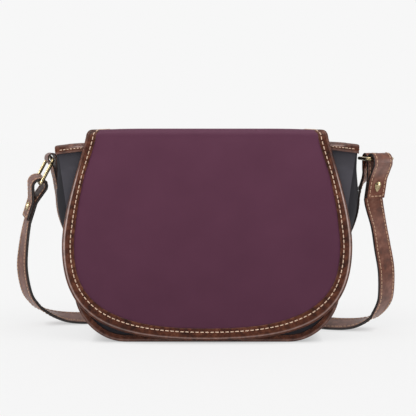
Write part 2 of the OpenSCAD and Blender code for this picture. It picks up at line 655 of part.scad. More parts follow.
function route_point(r) = [r[0] * strap_x, r[1] * strap_y, lie_z + r[2] * (tab_z - lie_z)];
route_n = 3;
// smooth curve through points, with a few samples a stretch
function spline(p, i, t) = let (a = p[max(i - 1, 0)], b = p[i], c = p[i + 1], d = p[min(i + 2, len(p) - 1)])
    (b * 2 + (c - a) * t + (a * 2 - b * 5 + c * 4 - d) * t * t + (b * 3 - a - c * 3 + d) * t * t * t) / 2;
right_end = [for (q = end_plane) placed(q, bar_right, out_right, up_right)];
left_end = [for (i = [len(end_plane) - 1 : -1 : 0]) placed(end_plane[i], bar_left, out_left, up_left)];
route_knots = concat([right_end[len(right_end) - 1]], [for (r = route_right_shares) route_point(r)],
    [for (r = route_left_shares) route_point(r)], [left_end[0]]);
route_wide = concat([wide_right], [for (r = route_right_shares) r[3]], [for (r = route_left_shares) r[3]], [wide_left]);
strap_line = concat(
    [for (q = right_end) q],
    [for (i = [0 : len(route_knots) - 2]) for (k = [1 : route_n])
        if (!(i == len(route_knots) - 2 && k == route_n)) spline(route_knots, i, k / route_n)],
    [for (q = left_end) q]
);
strap_wide = concat(
    [for (q = right_end) wide_right],
    [for (i = [0 : len(route_knots) - 2]) for (k = [1 : route_n])
        if (!(i == len(route_knots) - 2 && k == route_n)) spline(route_wide, i, k / route_n)],
    [for (q = left_end) wide_left]
);
// the stud's shank, through both plies
shank_d = stud_w * 0.4;
module at_stud(at, out, up, wide) {
    multmatrix([
        [wide[0], up[0], out[0], at[0] - up[0] * stud_drop],
        [wide[1], up[1], out[1], at[1] - up[1] * stud_drop],
        [wide[2], up[2], out[2], at[2] - up[2] * stud_drop]
    ]) children();
}
module strap() {
    color("#643528") difference() {
        band(strap_line, strap_wide, strap_w, strap_t);
        at_stud(bar_right, out_right, up_right, wide_right)
            translate([0, 0, -strap_t - over]) cylinder(d = shank_d + 2 * fit, h = 2 * (strap_t + over));
        at_stud(bar_left, out_left, up_left, wide_left)
            translate([0, 0, -strap_t - over]) cylinder(d = shank_d + 2 * fit, h = 2 * (strap_t + over));
    }
}

// Stud: a drop-shaped head on a shank, and a round plate behind the strap
stud_l = stud_w * 1.55;
stud_plate_t = 1;
stud_head_t = stud_w * 0.3;
ply_face = ply_off + strap_t / 2;
module drop_shape(w, l) {
    polygon(concat(
        [for (i = [0 : loop_n * 2]) let (a = -15 + 210 * i / (loop_n * 2)) [w / 2 * cos(a), w / 2 * sin(a)]],
        [[0, -(l - w / 2)]]
    ));
}
module stud_solid() {
    translate([0, 0, ply_face + fit]) linear_extrude(stud_head_t * 0.5) drop_shape(stud_w, stud_l);
    translate([0, 0, ply_face + fit + stud_head_t * 0.5]) linear_extrude(stud_head_t * 0.5)
        drop_shape(stud_w * 0.72, stud_l * 0.72);
    translate([0, 0, -ply_face - fit - stud_plate_t])
        cylinder(d = shank_d, h = 2 * (ply_face + fit) + stud_plate_t + stud_head_t * 0.25);
}
module stud_plate_solid() {
    difference() {
        translate([0, 0, -ply_face - fit - stud_plate_t]) cylinder(d = stud_w * 1.2, h = stud_plate_t);
        translate([0, 0, -ply_face - fit - stud_plate_t - over]) cylinder(d = shank_d + 2 * fit, h = over * 2);
    }
}
module stud_left() { color("#b39b63") at_stud(bar_left, out_left, up_left, wide_left) stud_solid(); }
module stud_right() { color("#b39b63") at_stud(bar_right, out_right, up_right, wide_right) stud_solid(); }
module stud_plate_left() { color("#b39b63") at_stud(bar_left, out_left, up_left, wide_left) stud_plate_solid(); }
module stud_plate_right() { color("#b39b63") at_stud(bar_right, out_right, up_right, wide_right) stud_plate_solid(); }

front_panel();
back_panel();
gusset();
base_board();
lining();
front_rim_band();
back_rim_band();
front_binding();
back_binding();
gusset_trim_left();
gusset_trim_right();
root_panel();
root_lining();
root_binding();
crown_panel();
crown_lining();
crown_binding_left();
crown_binding_right();
flap_panel();
flap_lining();
flap_binding();
snap_socket();
snap_socket_plate();
snap_stud();
tab_left();
tab_right();
ring_left();
ring_right();
strap();
stud_left();
stud_right();
stud_plate_left();
stud_plate_right();
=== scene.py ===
from math import cos, pi, radians, sin, sqrt, tan
import bmesh
import bpy
import numpy as np
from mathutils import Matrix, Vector


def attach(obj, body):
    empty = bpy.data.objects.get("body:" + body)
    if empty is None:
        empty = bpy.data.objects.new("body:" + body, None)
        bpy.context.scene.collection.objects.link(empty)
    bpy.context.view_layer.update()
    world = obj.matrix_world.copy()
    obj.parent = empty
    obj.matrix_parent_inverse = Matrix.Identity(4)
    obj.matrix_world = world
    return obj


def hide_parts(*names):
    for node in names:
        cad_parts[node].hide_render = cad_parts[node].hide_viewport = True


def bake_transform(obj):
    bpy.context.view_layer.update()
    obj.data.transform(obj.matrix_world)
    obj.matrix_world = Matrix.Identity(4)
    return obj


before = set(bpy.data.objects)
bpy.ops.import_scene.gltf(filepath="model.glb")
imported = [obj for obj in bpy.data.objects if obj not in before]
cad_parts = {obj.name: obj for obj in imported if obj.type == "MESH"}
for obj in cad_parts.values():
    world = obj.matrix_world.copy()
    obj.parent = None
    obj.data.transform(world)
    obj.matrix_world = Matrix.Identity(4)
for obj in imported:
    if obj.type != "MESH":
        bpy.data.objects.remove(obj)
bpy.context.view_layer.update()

# the camera
PHOTO_SIDE = 416.0
SENSOR = 36.0
FOCAL_PX = 1028.0
LOOKS_DOWN = 4.6
CAMERA_PLACE = (0.0009, -1.040, 0.2128)

camera = bpy.data.cameras.new("camera")
camera.sensor_width = SENSOR
camera.lens = FOCAL_PX / PHOTO_SIDE * SENSOR
camera.clip_start = 0.05
camera_object = bpy.data.objects.new("camera", camera)
camera_object.location = CAMERA_PLACE
camera_object.rotation_euler = (radians(90 - LOOKS_DOWN), 0, 0)
bpy.context.collection.objects.link(camera_object)
bpy.context.scene.camera = camera_object
bpy.context.scene.view_settings.view_transform = "Standard"


# helpers for shader nodes
def feed(tree, socket, value):
    """Link an output to the socket, or else set the socket's own value."""
    if isinstance(value, bpy.types.NodeSocket):
        tree.links.new(value, socket)
    else:
        socket.default_value = value


def put(tree, kind, **settings):
    """A new node; a setting feeds the input of its name, or else sets the property."""
    node = tree.nodes.new(kind)
    for key, value in settings.items():
        if key in node.inputs:
            feed(tree, node.inputs[key], value)
        else:
            setattr(node, key, value)
    return node


def math(tree, operation, first, second, clamp=False):
    node = tree.nodes.new("ShaderNodeMath")
    node.operation = operation
    node.use_clamp = clamp
    feed(tree, node.inputs[0], first)
    feed(tree, node.inputs[1], second)
    return node.outputs[0]


def weighted(tree, first, first_share, second, second_share):
    """The sum of two outputs, each times its share."""
    return math(tree, "ADD", math(tree, "MULTIPLY", first, first_share),
                math(tree, "MULTIPLY", second, second_share))


def ramp(tree, factor, stops):
    node = tree.nodes.new("ShaderNodeValToRGB")
    elements = node.color_ramp.elements
    while len(elements) < len(stops):
        elements.new(0.5)
    for i, (position, colour) in enumerate(stops):
        elements[i].position = position
        elements[i].color = (*colour, 1)
    tree.links.new(factor, node.inputs[0])
    return node.outputs[0]


def mix(tree, factor, first, second):
    """Mix of two colours, each an output or three numbers."""
    node = tree.nodes.new("ShaderNodeMix")
    node.data_type = "RGBA"
    feed(tree, node.inputs[0], factor)
    for i, colour in ((6, first), (7, second)):
        feed(tree, node.inputs[i], colour if isinstance(colour, bpy.types.NodeSocket) else (*colour, 1))
    return node.outputs[2]


def mix_shaders(tree, factor, first, second, target):
    node = put(tree, "ShaderNodeMixShader")
    tree.links.new(factor, node.inputs[0])
    tree.links.new(first, node.inputs[1])
    tree.links.new(second, node.inputs[2])
    tree.links.new(node.outputs[0], target)


def background_ray(tree):
    """1 on rays that show a background as it is: from the camera, in gloss and through glass."""
    ray = put(tree, "ShaderNodeLightPath").outputs
    mirrored = math(tree, "MAXIMUM", ray["Is Glossy Ray"], ray["Is Transmission Ray"])
    return math(tree, "MAXIMUM", ray["Is Camera Ray"], mirrored)


def new_material(name):
    surface = bpy.data.materials.new(name)
    surface.use_nodes = True
    return surface, surface.node_tree


def dress(tree, bump, **inputs):
    """Feed the shader's inputs, with _ for a space in a name; bump is (height, strength, distance)."""
    shader = tree.nodes["Principled BSDF"]
    for key, value in inputs.items():
        feed(tree, shader.inputs[key.replace("_", " ")], value)
    if bump:
        node = put(tree, "ShaderNodeBump", Height=bump[0], Strength=bump[1], Distance=bump[2])
        tree.links.new(node.outputs[0], shader.inputs["Normal"])


def srgb(*levels):
    """Linear colour from levels of 0 to 255."""
    parts = [level / 255 for level in levels]
    return tuple(c / 12.92 if c <= 10 / 255 else ((c + 0.055) / 1.055) ** 2.4 for c in parts)


# the world: white where it is seen, dimmer where it lights the object
WHITE = srgb(247, 247, 247)
WORLD_LIGHT = 0.56
world = bpy.data.worlds.new("studio")
bpy.context.scene.world = world
world.use_nodes = True
world_tree = world.node_tree
world_tree.nodes.clear()
dim = put(world_tree, "ShaderNodeBackground", Color=(1, 1, 1, 1), Strength=WORLD_LIGHT)
lit = put(world_tree, "ShaderNodeBackground", Color=(*WHITE, 1), Strength=1.0)
mix_shaders(world_tree, background_ray(world_tree), dim.outputs[0], lit.outputs[0],
            put(world_tree, "ShaderNodeOutputWorld").inputs[0])


# the lamps
def place_lamp(name, lamp, place, towards):
    obj = bpy.data.objects.new(name, lamp)
    obj.location = place
    obj.rotation_euler = towards.to_track_quat("Z", "Y").to_euler()
    bpy.context.collection.objects.link(obj)
    return obj


def sun(name, azimuth, height, strength, angle):
    lamp = bpy.data.lights.new(name, "SUN")
    lamp.energy = strength
    lamp.angle = radians(angle)
    turn, rise = radians(azimuth), radians(height)
    towards = Vector((sin(turn) * cos(rise), -cos(turn) * cos(rise), sin(rise)))
    place_lamp(name, lamp, towards * 2, towards)


def softbox(name, place, aim, size, power):
    """A lamp that adds gloss and no other light."""
    lamp = bpy.data.lights.new(name, "AREA")
    lamp.shape = "RECTANGLE"
    lamp.size, lamp.size_y = size
    lamp.energy = power
    obj = place_lamp(name, lamp, place, Vector(place) - Vector(aim))
    obj.visible_camera = False
    obj.visible_diffuse = False


sun("key_left", -38, 60, 0.78, 35)
sun("key_right", 42, 58, 0.78, 35)
softbox("side_left", (-1.5, -0.55, 0.25), (0, 0, 0.12), (0.55, 0.9), 26)
softbox("side_right", (1.5, -0.55, 0.25), (0, 0, 0.12), (0.55, 0.9), 26)
softbox("top", (0, -0.35, 1.5), (0, 0, 0.1), (1.4, 0.5), 12)


# the stage
def stage_plane(name, corners, surface):
    mesh = bpy.data.meshes.new(name)
    mesh.from_pydata(corners, [], [(0, 1, 2, 3)])
    mesh.materials.append(surface)
    obj = bpy.data.objects.new(name, mesh)
    bpy.context.collection.objects.link(obj)
    return obj


def matt(name, colour):
    surface, tree = new_material(name)
    dress(tree, None, Base_Color=(*colour, 1), Roughness=1.0, Specular_IOR_Level=0.0)
    return surface


# the floor shows nearly as white as the wall behind, and keeps a soft shadow
FLOOR_GLOW = 0.78
CONTACT_REACH = 0.012
CONTACT_SHADE = 0.6
floor = matt("floor", WHITE)
floor_tree = floor.node_tree
glow = put(floor_tree, "ShaderNodeEmission", Strength=1.0)
# the darkest of the shadow lies right at the contact
near = put(floor_tree, "ShaderNodeAmbientOcclusion", Distance=CONTACT_REACH, samples=8)
contact = mix(floor_tree, near.outputs["AO"], tuple(c * CONTACT_SHADE for c in WHITE), WHITE)
floor_tree.links.new(contact, glow.inputs["Color"])
glow_share = math(floor_tree, "MULTIPLY", background_ray(floor_tree), FLOOR_GLOW)
mix_shaders(floor_tree, glow_share, floor_tree.nodes["Principled BSDF"].outputs[0], glow.outputs[0],
            floor_tree.nodes["Material Output"].inputs[0])
stage_plane("floor", [(-8, -4, 0), (8, -4, 0), (8, 12, 0), (-8, 12, 0)], floor)

# a dark card behind the camera, seen only in gloss
card_corners = [(-1.5, -1.7, 0.0), (1.5, -1.7, 0.0), (1.5, -1.7, 2.2), (-1.5, -1.7, 2.2)]
card = stage_plane("card", card_corners, matt("card", (0.03, 0.03, 0.03)))
card.visible_camera = False
card.visible_diffuse = False
card.visible_shadow = False
card.visible_transmission = False


# materials; their lengths are in metres. The attribute painted by place in build() holds painted shade on
# cloth, and rubbed wear with painted highlights on leather
def coordinates(tree, kind):
    return put(tree, "ShaderNodeTexCoord").outputs[kind]


def painted_light_and_wear(tree):
    return put(tree, "ShaderNodeAttribute", attribute_name="wear_and_painted_light").outputs["Fac"]


def noise(tree, vector, scale, detail, roughness=0.5):
    node = put(tree, "ShaderNodeTexNoise", Vector=vector, Scale=scale, Detail=detail, Roughness=roughness)
    return node.outputs[0]


def bands(tree, pitch, direction, distortion, detail_scale=1.0):
    """Waves a pitch apart on the mesh's own map."""
    node = put(tree, "ShaderNodeTexWave", Vector=coordinates(tree, "UV"), Scale=2 * pi / 20 / pitch,
               Distortion=distortion, wave_type="BANDS", bands_direction=direction)
    node.inputs["Detail Scale"].default_value = detail_scale
    return node.outputs[1]


def cloth(name, dark, light, pitch, roughness=0.85, specular=0.12):
    """Plain weave with fine fuzz and broad unevenness; the painted attribute darkens it, as painted shade."""
    surface, tree = new_material(name)
    uv = coordinates(tree, "UV")
    warp = bands(tree, pitch, "X", 0.6, 0.2)
    weft = bands(tree, pitch / 1.06, "Y", 0.6, 0.2)
    weave = weighted(tree, math(tree, "MULTIPLY", warp, weft), 0.55, noise(tree, uv, 2600, 2), 0.45)
    tone = weighted(tree, weave, 0.6, noise(tree, uv, 22, 3), 0.45)
    colour = ramp(tree, tone, [(0.15, dark), (0.85, light)])
    colour = mix(tree, painted_light_and_wear(tree), colour, tuple(c * 0.25 for c in dark))
    dress(tree, (weave, 0.35, 0.0003), Base_Color=colour, Roughness=roughness, Specular_IOR_Level=specular)
    return surface


# pale leather, for rubbed wear and for painted highlights
WEAR_AND_HIGHLIGHT_LEATHER = (0.60, 0.45, 0.41)


def leather(name, dark, mid, light, specular=0.16, sheen=0.0, mottle=170):
    """Waxed leather with mottled patches, pores and fine cells; the painted attribute rubs it pale, as real
    wear and as painted highlights.
    """
    surface, tree = new_material(name)
    place = coordinates(tree, "Object")
    patches = noise(tree, place, mottle, 5, 0.62)
    broad = noise(tree, place, 34, 2)
    cells = put(tree, "ShaderNodeTexVoronoi", Vector=place, Scale=1150, feature="DISTANCE_TO_EDGE").outputs[0]
    pores = noise(tree, place, 2400, 3)
    colour = ramp(tree, weighted(tree, patches, 0.75, broad, 0.25), [(0.34, dark), (0.52, mid), (0.70, light)])
    rub_and_highlight = math(tree, "MULTIPLY", painted_light_and_wear(tree), math(tree, "ADD", patches, 0.25), clamp=True)
    colour = mix(tree, rub_and_highlight, colour, WEAR_AND_HIGHLIGHT_LEATHER)
    rough = math(tree, "ADD", math(tree, "MULTIPLY", patches, 0.22), 0.31)
    cell_walls = math(tree, "MINIMUM", math(tree, "MULTIPLY", cells, 2.5), 0.6)
    grain = math(tree, "ADD", cell_walls, math(tree, "MULTIPLY", pores, 0.5))
    dress(tree, (grain, 0.28, 0.00025), Base_Color=colour, Roughness=rough, Specular_IOR_Level=specular,
          Sheen_Weight=sheen, Sheen_Roughness=0.35)
    return surface


def edge_paint(name, dark, light, roughness=0.4):
    """Painted cut edge, with a little unevenness."""
    surface, tree = new_material(name)
    uneven = noise(tree, coordinates(tree, "Object"), 420, 4)
    colour = ramp(tree, uneven, [(0.35, dark), (0.68, light)])
    dress(tree, (uneven, 0.2, 0.0003), Base_Color=colour, Roughness=roughness, Specular_IOR_Level=0.35)
    return surface


def aged_metal(name, dark, mid, light):
    """Metal with patches of tarnish, darker where it is smoother."""
    surface, tree = new_material(name)
    place = coordinates(tree, "Object")
    tarnish = noise(tree, place, 260, 5, 0.6)
    colour = ramp(tree, tarnish, [(0.30, dark), (0.5, mid), (0.72, light)])
    rough = math(tree, "ADD", math(tree, "MULTIPLY", tarnish, 0.25), 0.14)
    dress(tree, (noise(tree, place, 1900, 2), 0.06, 0.0002), Base_Color=colour, Metallic=1.0, Roughness=rough)
    return surface


THREAD_TWIST = 0.0009


def thread(name, dark, light):
    """Twisted sewing thread."""
    surface, tree = new_material(name)
    twist = bands(tree, THREAD_TWIST, "DIAGONAL", 1.0)
    colour = ramp(tree, twist, [(0.1, dark), (0.8, light)])
    dress(tree, (twist, 0.5, 0.0002), Base_Color=colour, Roughness=0.7, Specular_IOR_Level=0.2)
    return surface


MATERIALS = {
    "plum": cloth("plum_cloth", srgb(84, 42, 63), srgb(106, 60, 83), 0.00085, roughness=0.62, specular=0.14),
    "charcoal": cloth("charcoal_cloth", srgb(68, 66, 72), srgb(93, 91, 98), 0.0009),
    "lining": cloth("lining_cloth", srgb(38, 37, 41), srgb(58, 57, 61), 0.0006, roughness=0.7),
    # painted shade: the gusset cloth is darker than the panels, for the shade in the gaps beside them
    "gusset": cloth("gusset_cloth", srgb(38, 37, 41), srgb(54, 53, 58), 0.0009),
    "trim": leather("trim_leather", (0.018, 0.004, 0.002), (0.094, 0.025, 0.011), (0.20, 0.072, 0.038)),
    "strap": leather("strap_leather", (0.070, 0.019, 0.009), (0.155, 0.045, 0.023), (0.26, 0.108, 0.068),
                     specular=0.2, sheen=0.25, mottle=120),
    "edge": edge_paint("edge_paint", (0.008, 0.006, 0.006), (0.022, 0.017, 0.016)),
    "edge_line": edge_paint("edge_seam", (0.06, 0.05, 0.047), (0.13, 0.11, 0.10)),
    "thread": thread("thread", srgb(208, 172, 146), srgb(240, 212, 188)),
    "thread_dim": thread("thread_strap", srgb(184, 144, 116), srgb(226, 190, 160)),
    # painted shade: the binding's thread is dark, for the shade it lies in under the flap
    "thread_painted_shade": thread("thread_painted_shade", srgb(60, 36, 28), srgb(96, 62, 48)),
    "brass": aged_metal("aged_brass", (0.17, 0.125, 0.065), (0.40, 0.32, 0.178), (0.57, 0.485, 0.315)),
    "board": edge_paint("board", srgb(120, 104, 84), srgb(150, 134, 112), 0.85),
}

# mesh tools. From here on lengths are in millimetres, and a shell is (points, faces, face materials, map)
MM = 0.001


def arched(points):
    """The rim dips towards its two ends, and stands a little higher on the right."""
    points = points.copy()
    share = np.clip((points[:, 2] - 140) / 50, 0, 1)
    rise = 1.3 * np.clip(points[:, 0] / 120, 0, 1) ** 2
    dip = 2.2 * np.clip(np.abs(points[:, 0]) / 148.5, 0, 1) ** 8
    points[:, 2] += share * (rise - dip)
    return points


def build(name, shell, materials, body, wear_and_painted_light=None, replaces=(), sharp=50, blend=None, arch=False):
    """A piece from its shell, which rides on a body, or is left in place where blend is given."""
    points, faces, face_material, uv = shell
    if arch:
        points = arched(points)
    mesh = bpy.data.meshes.new(name)
    mesh.from_pydata((points * MM).tolist(), [], [tuple(int(i) for i in face) for face in faces])
    for key in materials:
        mesh.materials.append(MATERIALS[key])
    if face_material is not None:
        mesh.polygons.foreach_set("material_index", np.asarray(face_material, np.int32))
    layer = mesh.uv_layers.new(name="UVMap")
    corners = np.empty(len(mesh.loops), np.int32)
    mesh.loops.foreach_get("vertex_index", corners)
    layer.data.foreach_set("uv", (uv * MM)[corners].astype(np.float32).ravel())
    wear_and_painted_light = np.zeros(len(points)) if wear_and_painted_light is None else wear_and_painted_light
    mesh.attributes.new("wear_and_painted_light", "FLOAT", "POINT").data.foreach_set("value", np.asarray(wear_and_painted_light, np.float32))
    work = bmesh.new()
    work.from_mesh(mesh)
    bmesh.ops.recalc_face_normals(work, faces=work.faces)
    work.to_mesh(mesh)
    work.free()
    mesh.shade_smooth()
    mesh.set_sharp_from_angle(angle=radians(sharp))
    piece = bpy.data.objects.new(name, mesh)
    bpy.context.collection.objects.link(piece)
    if replaces:
        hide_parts(*replaces)
    if blend:
        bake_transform(piece)
    else:
        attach(piece, body)


def grid(rows, columns, first=0, wrap=False):
    """Faces of a grid of points, row by row; wrap also joins the last column to the first."""
    faces = []
    for i in range(rows - 1):
        for j in range(columns if wrap else columns - 1):
            a = first + i * columns + j
            b = first + i * columns + (j + 1) % columns
            faces.append((a, b, b + columns, a + columns))
    return faces


def lengths(path):
    """Length along the path at each of its points."""
    return np.concatenate([[0], np.cumsum(np.linalg.norm(np.diff(path, axis=0), axis=1))])


def at_lengths(path, where, values=None):
    """Points of the path at these lengths along it, or the values that its points have there."""
    run = lengths(path)
    values = path if values is None else values
    return np.stack([np.interp(where, run, values[:, k]) for k in range(3)], -1)


def unit(vectors):
    return vectors / np.maximum(np.linalg.norm(vectors, axis=-1, keepdims=True), 1e-9)


def flat_path(path):
    """Two-column points as points in space."""
    return np.c_[path, np.zeros(len(path))]


def resample(path, step):
    """The flat path again, with points about a step apart."""
    path = flat_path(path)
    whole = lengths(path)[-1]
    return at_lengths(path, np.linspace(0, whole, max(2, int(round(whole / step)) + 1)))[:, :2]


def both_halves(half):
    """A path that ends on the middle line, and back up its mirror image."""
    return np.concatenate([half, (half * [-1, 1])[::-1][1:]])


def spline(points, per):
    """Smooth curve through the points, with so many samples for each stretch."""
    points = np.asarray(points, float)
    last = len(points) - 1
    out = []
    for i in range(last):
        a, b, c, d = points[max(i - 1, 0)], points[i], points[i + 1], points[min(i + 2, last)]
        for k in range(per):
            t = k / per
            bend = (a * 2 - b * 5 + c * 4 - d) * t * t
            twist = (b * 3 - a - c * 3 + d) * t ** 3
            out.append((b * 2 + (c - a) * t + bend + twist) / 2)
    out.append(points[-1])
    return np.array(out)


def slab(outer, inner):
    """Closed sheet between two grids of points."""
    n, m = outer.shape[:2]
    size = n * m
    points = np.concatenate([outer.reshape(-1, 3), inner.reshape(-1, 3)])
    faces = grid(n, m) + grid(n, m, size)
    left = [i * m for i in range(n)]
    bottom = [(n - 1) * m + j for j in range(1, m)]
    right = [i * m + m - 1 for i in range(n - 2, -1, -1)]
    rim = left + bottom + right + list(range(m - 2, 0, -1))
    for a, b in zip(rim, rim[1:] + rim[:1]):
        faces.append((a, b, b + size, a + size))
    steps = np.linalg.norm(np.diff(outer, axis=1), axis=2)
    u = np.concatenate([np.zeros((n, 1)), np.cumsum(steps, axis=1)], axis=1)
    u -= u[:, m // 2][:, None]
    v = lengths(outer[:, m // 2])
    uv = np.stack([u, np.repeat(v[:, None], m, 1)], -1).reshape(-1, 2)
    return points, faces, None, np.concatenate([uv, uv])


def tube(rings, side_material=None, cap_material=0):
    """Closed sweep of rings (n, m, 3), with a material for each side of a ring."""
    n, m = rings.shape[:2]
    caps = [tuple(range(m)), tuple((n - 1) * m + j for j in reversed(range(m)))]
    faces = grid(n, m, wrap=True) + caps
    face_material = (side_material or [0] * m) * (n - 1) + [cap_material, cap_material]
    u = lengths(rings.mean(axis=1))
    v = lengths(rings[n // 2])
    uv = np.stack([np.repeat(u[:, None], m, 1), np.repeat(v[None, :], n, 0)], -1).reshape(-1, 2)
    return rings.reshape(-1, 3), faces, face_material, uv


def joined(shells):
    """Shells of one material as one shell."""
    faces = []
    first = 0
    for points, shell_faces, _, _ in shells:
        faces += [tuple(first + i for i in face) for face in shell_faces]
        first += len(points)
    return np.concatenate([s[0] for s in shells]), faces, None, np.concatenate([s[3] for s in shells])


# a stitch at six places along it: how far along, and height and thickness in radii of the thread
STITCH_ALONG = np.array([0, 0.12, 0.35, 0.65, 0.88, 1.0])
STITCH_HEIGHT = np.array([-1.0, 0.15, 0.45, 0.45, 0.15, -1.0])
STITCH_THICK = np.array([0.55, 0.95, 1.0, 1.0, 0.95, 0.55])
STITCH_SIDES = 6
# pitch, length of a stitch, and radius of the thread
BAND_STITCH = (3.3, 2.6, 0.45)
TRIM_STITCH = (4.9, 3.9, 0.55)
BIND_STITCH = (4.9, 3.6, 0.3)
FLAP_STITCH = (4.9, 3.8, 0.52)
TAB_STITCH = (4.2, 3.4, 0.42)
STRAP_STITCH = (4.2, 3.4, 0.5)


def stitches(name, rows, sizes, key, body, blend=None, arch=False):
    """Rows of (points, normals): each stitch is a short thread that dives into the leather at both ends."""
    pitch, length, radius = sizes
    shells = []
    places = len(STITCH_ALONG)
    around = np.arange(STITCH_SIDES) * 2 * pi / STITCH_SIDES
    one = grid(places, STITCH_SIDES, wrap=True)
    one.append(tuple(range(STITCH_SIDES)))
    one.append(tuple((places - 1) * STITCH_SIDES + j for j in reversed(range(STITCH_SIDES))))
    for path, normals in rows:
        whole = lengths(path)[-1]
        count = int(whole / pitch)
        start = (whole - count * pitch + (pitch - length)) / 2 + np.arange(count) * pitch
        where = (start[:, None] + STITCH_ALONG[None] * length).ravel()
        centre = at_lengths(path, where)
        up = unit(at_lengths(path, where, normals))
        ahead = unit(at_lengths(path, where + 0.3) - at_lengths(path, where - 0.3))
        aside = unit(np.cross(ahead, up))
        height = np.tile(STITCH_HEIGHT * radius, count)[:, None]
        thick = np.tile(STITCH_THICK * radius, count)[:, None]
        lift = height[:, None] + thick[:, None] * np.sin(around)[None, :, None]
        shift = thick[:, None] * np.cos(around)[None, :, None]
        points = (centre[:, None] + up[:, None] * lift + aside[:, None] * shift).reshape(-1, 3)
        faces = [tuple(c * places * STITCH_SIDES + i for i in face) for c in range(count) for face in one]
        uv = np.stack([np.repeat(where, STITCH_SIDES), np.tile(around * radius, len(centre))], -1)
        shells.append((points, faces, None, uv))
    build(name, joined(shells), [key], body, sharp=80, blend=blend, arch=arch)


def trim_piece(name, rings, wear_and_painted_light, rows, sizes, key="thread", arch=False):
    """A leather trim of the bag, swept through its rings, and its stitches."""
    build(name + "_leather", tube(rings), ["trim"], "bag", wear_and_painted_light=wear_and_painted_light, replaces=(name,),
          arch=arch)
    stitches(name + "_stitches", rows, sizes, key, "bag", arch=arch)


# the body's outline, as in the CAD
HALF = 147.5
RIM = 195.0
BULGE = 13.0
side_curve = np.array([[HALF, RIM], [HALF * 0.955, RIM * 0.80], [HALF * 0.923, RIM * 0.575],
                       [HALF * 0.882, RIM * 0.231]])
corner_curve = np.array([side_curve[3], [HALF * 0.868, RIM * 0.128], [HALF * 0.735, 0], [80, 0]])
# the gusset's swell by height, as a share of BULGE
bulge_z = np.array([0, 0.33, 0.41, 0.49, 0.555, 0.6, 0.645, 0.7, 0.75, 0.805, 0.87, 0.93, 1]) * RIM
bulge_k = np.array([0, 0.03, 0.13, 0.4, 0.72, 0.9, 1, 1, 0.93, 0.74, 0.49, 0.34, 0.18])
SWELL_HALF = 34.9
PANEL_TOP = 193.8
PANEL_OUTER = 39.9
PANEL_INNER = 38.1
LINING_TOP = 192.6
LINING_OUTER = 36.8
LINING_INNER = 36.3
LINING_INSET = 4.5
BINDING_TOP = 92.0
# the soft fold of the panels under the rim bands falls outwards
PANEL_FOLD_Z = 178
PANEL_FOLD_FALL = 0.28
PANEL_FOLD_X = 110
# under the left tab the cloth is pressed in at the front, and lies flat against the turned strip:
# its share by height, and its depth by place across the strip
PRESS_BY_Z = ([84, 98, 150, 172], [0, 1, 1, 0])
PRESS_BY_Y = ([-20, -8, 8, 16], [0, 5.0, -0.8, 0])


def bezier(p, t):
    t = np.asarray(t, float)[:, None]
    return p[0] * (1 - t) ** 3 + 3 * p[1] * (1 - t) ** 2 * t + 3 * p[2] * (1 - t) * t ** 2 + p[3] * t ** 3


def bezier_inset(p, t, inset):
    """The curve moved inwards."""
    s = np.asarray(t, float)[:, None]
    along = unit((p[1] - p[0]) * (1 - s) ** 2 + 2 * (p[2] - p[1]) * ((1 - s) * s) + (p[3] - p[2]) * s ** 2)
    return bezier(p, t) - np.stack([-along[:, 1], along[:, 0]], -1) * inset


def outline(inset, top, n=28):
    """Right half of the body's outline, from a height down to the middle of the base: rows of (x, z)."""
    t = np.linspace(0, 1, n)
    base = [[40, inset], [0, inset]]
    path = np.concatenate([bezier_inset(side_curve, t, inset), bezier_inset(corner_curve, t, inset)[1:], base])
    if path[0, 1] < top:
        slope = side_curve[1] - side_curve[0]
        x = path[0, 0] + (top - path[0, 1]) * slope[0] / slope[1]
        path = np.concatenate([[[x, top]], path])
    x = np.interp(-top, -path[:, 1], path[:, 0])
    return np.concatenate([[[x, top]], path[path[:, 1] < top - 0.05]])


def whole_outline(top, n, step):
    """The outline down one side and up the other, and its inward directions."""
    path = both_halves(resample(outline(0, top, n), step))
    along = unit(np.gradient(path, axis=0))
    inward = np.stack([along[:, 1], -along[:, 0]], -1)
    outwards = ((path - [0, 90]) * inward).sum(1)[:, None] > 0
    return path, np.where(outwards, -inward, inward)


def gusset_swell(z):
    return BULGE * np.interp(z, bulge_z, bulge_k)


def gusset_x(z):
    """The gusset's outer face at half depth."""
    path = outline(0, RIM)
    return np.interp(-np.asarray(z, float), -path[:, 1], path[:, 0]) + gusset_swell(z)


def swell(y):
    """Share of the swell at a depth: all of it in the middle, none at the seams."""
    inside = np.abs(np.cos(pi / 2 * np.clip(y / SWELL_HALF, -1, 1))) ** 0.6
    return np.where(np.abs(y) < SWELL_HALF, inside, 0)


def above_fold(x, z):
    return z - (PANEL_FOLD_Z - PANEL_FOLD_FALL * (np.abs(x) - PANEL_FOLD_X))


def panel(inset, top, y_outer, y_inner, lift=0.0):
    """A panel's sheet; its cloth stands out by the lift, or sags in where that is negative."""
    path = outline(inset, top, 40)
    run = lengths(flat_path(path))
    rows = np.interp(np.linspace(0, run[-1] - path[-3, 0], 60), run, path[:, 1])
    rows = np.unique(np.round(rows, 3))[::-1]
    widths = np.interp(-rows, -path[:-2, 1], path[:-2, 0])
    across = np.sin(np.linspace(-1, 1, 41) * pi / 2)
    X = widths[:, None] * across[None]
    Z = np.repeat(rows[:, None], len(across), 1)
    fold = above_fold(X, Z)
    sag = lift * (1 - across[None] ** 4) * np.sin(pi * np.clip(Z / top, 0, 1))
    sag = sag + 0.35 * lift * np.sin(X / 9) * np.sin(Z / 23)
    sag = sag - 1.6 * lift * np.exp(-(fold / 3.2) ** 2) + 2.2 * lift * np.clip(fold / 8, 0, 1)
    outer = np.stack([X, y_outer + sag * np.sign(y_outer), Z], -1)
    inner = np.stack([X, np.full_like(X, y_inner), Z], -1)
    return slab(outer, inner)


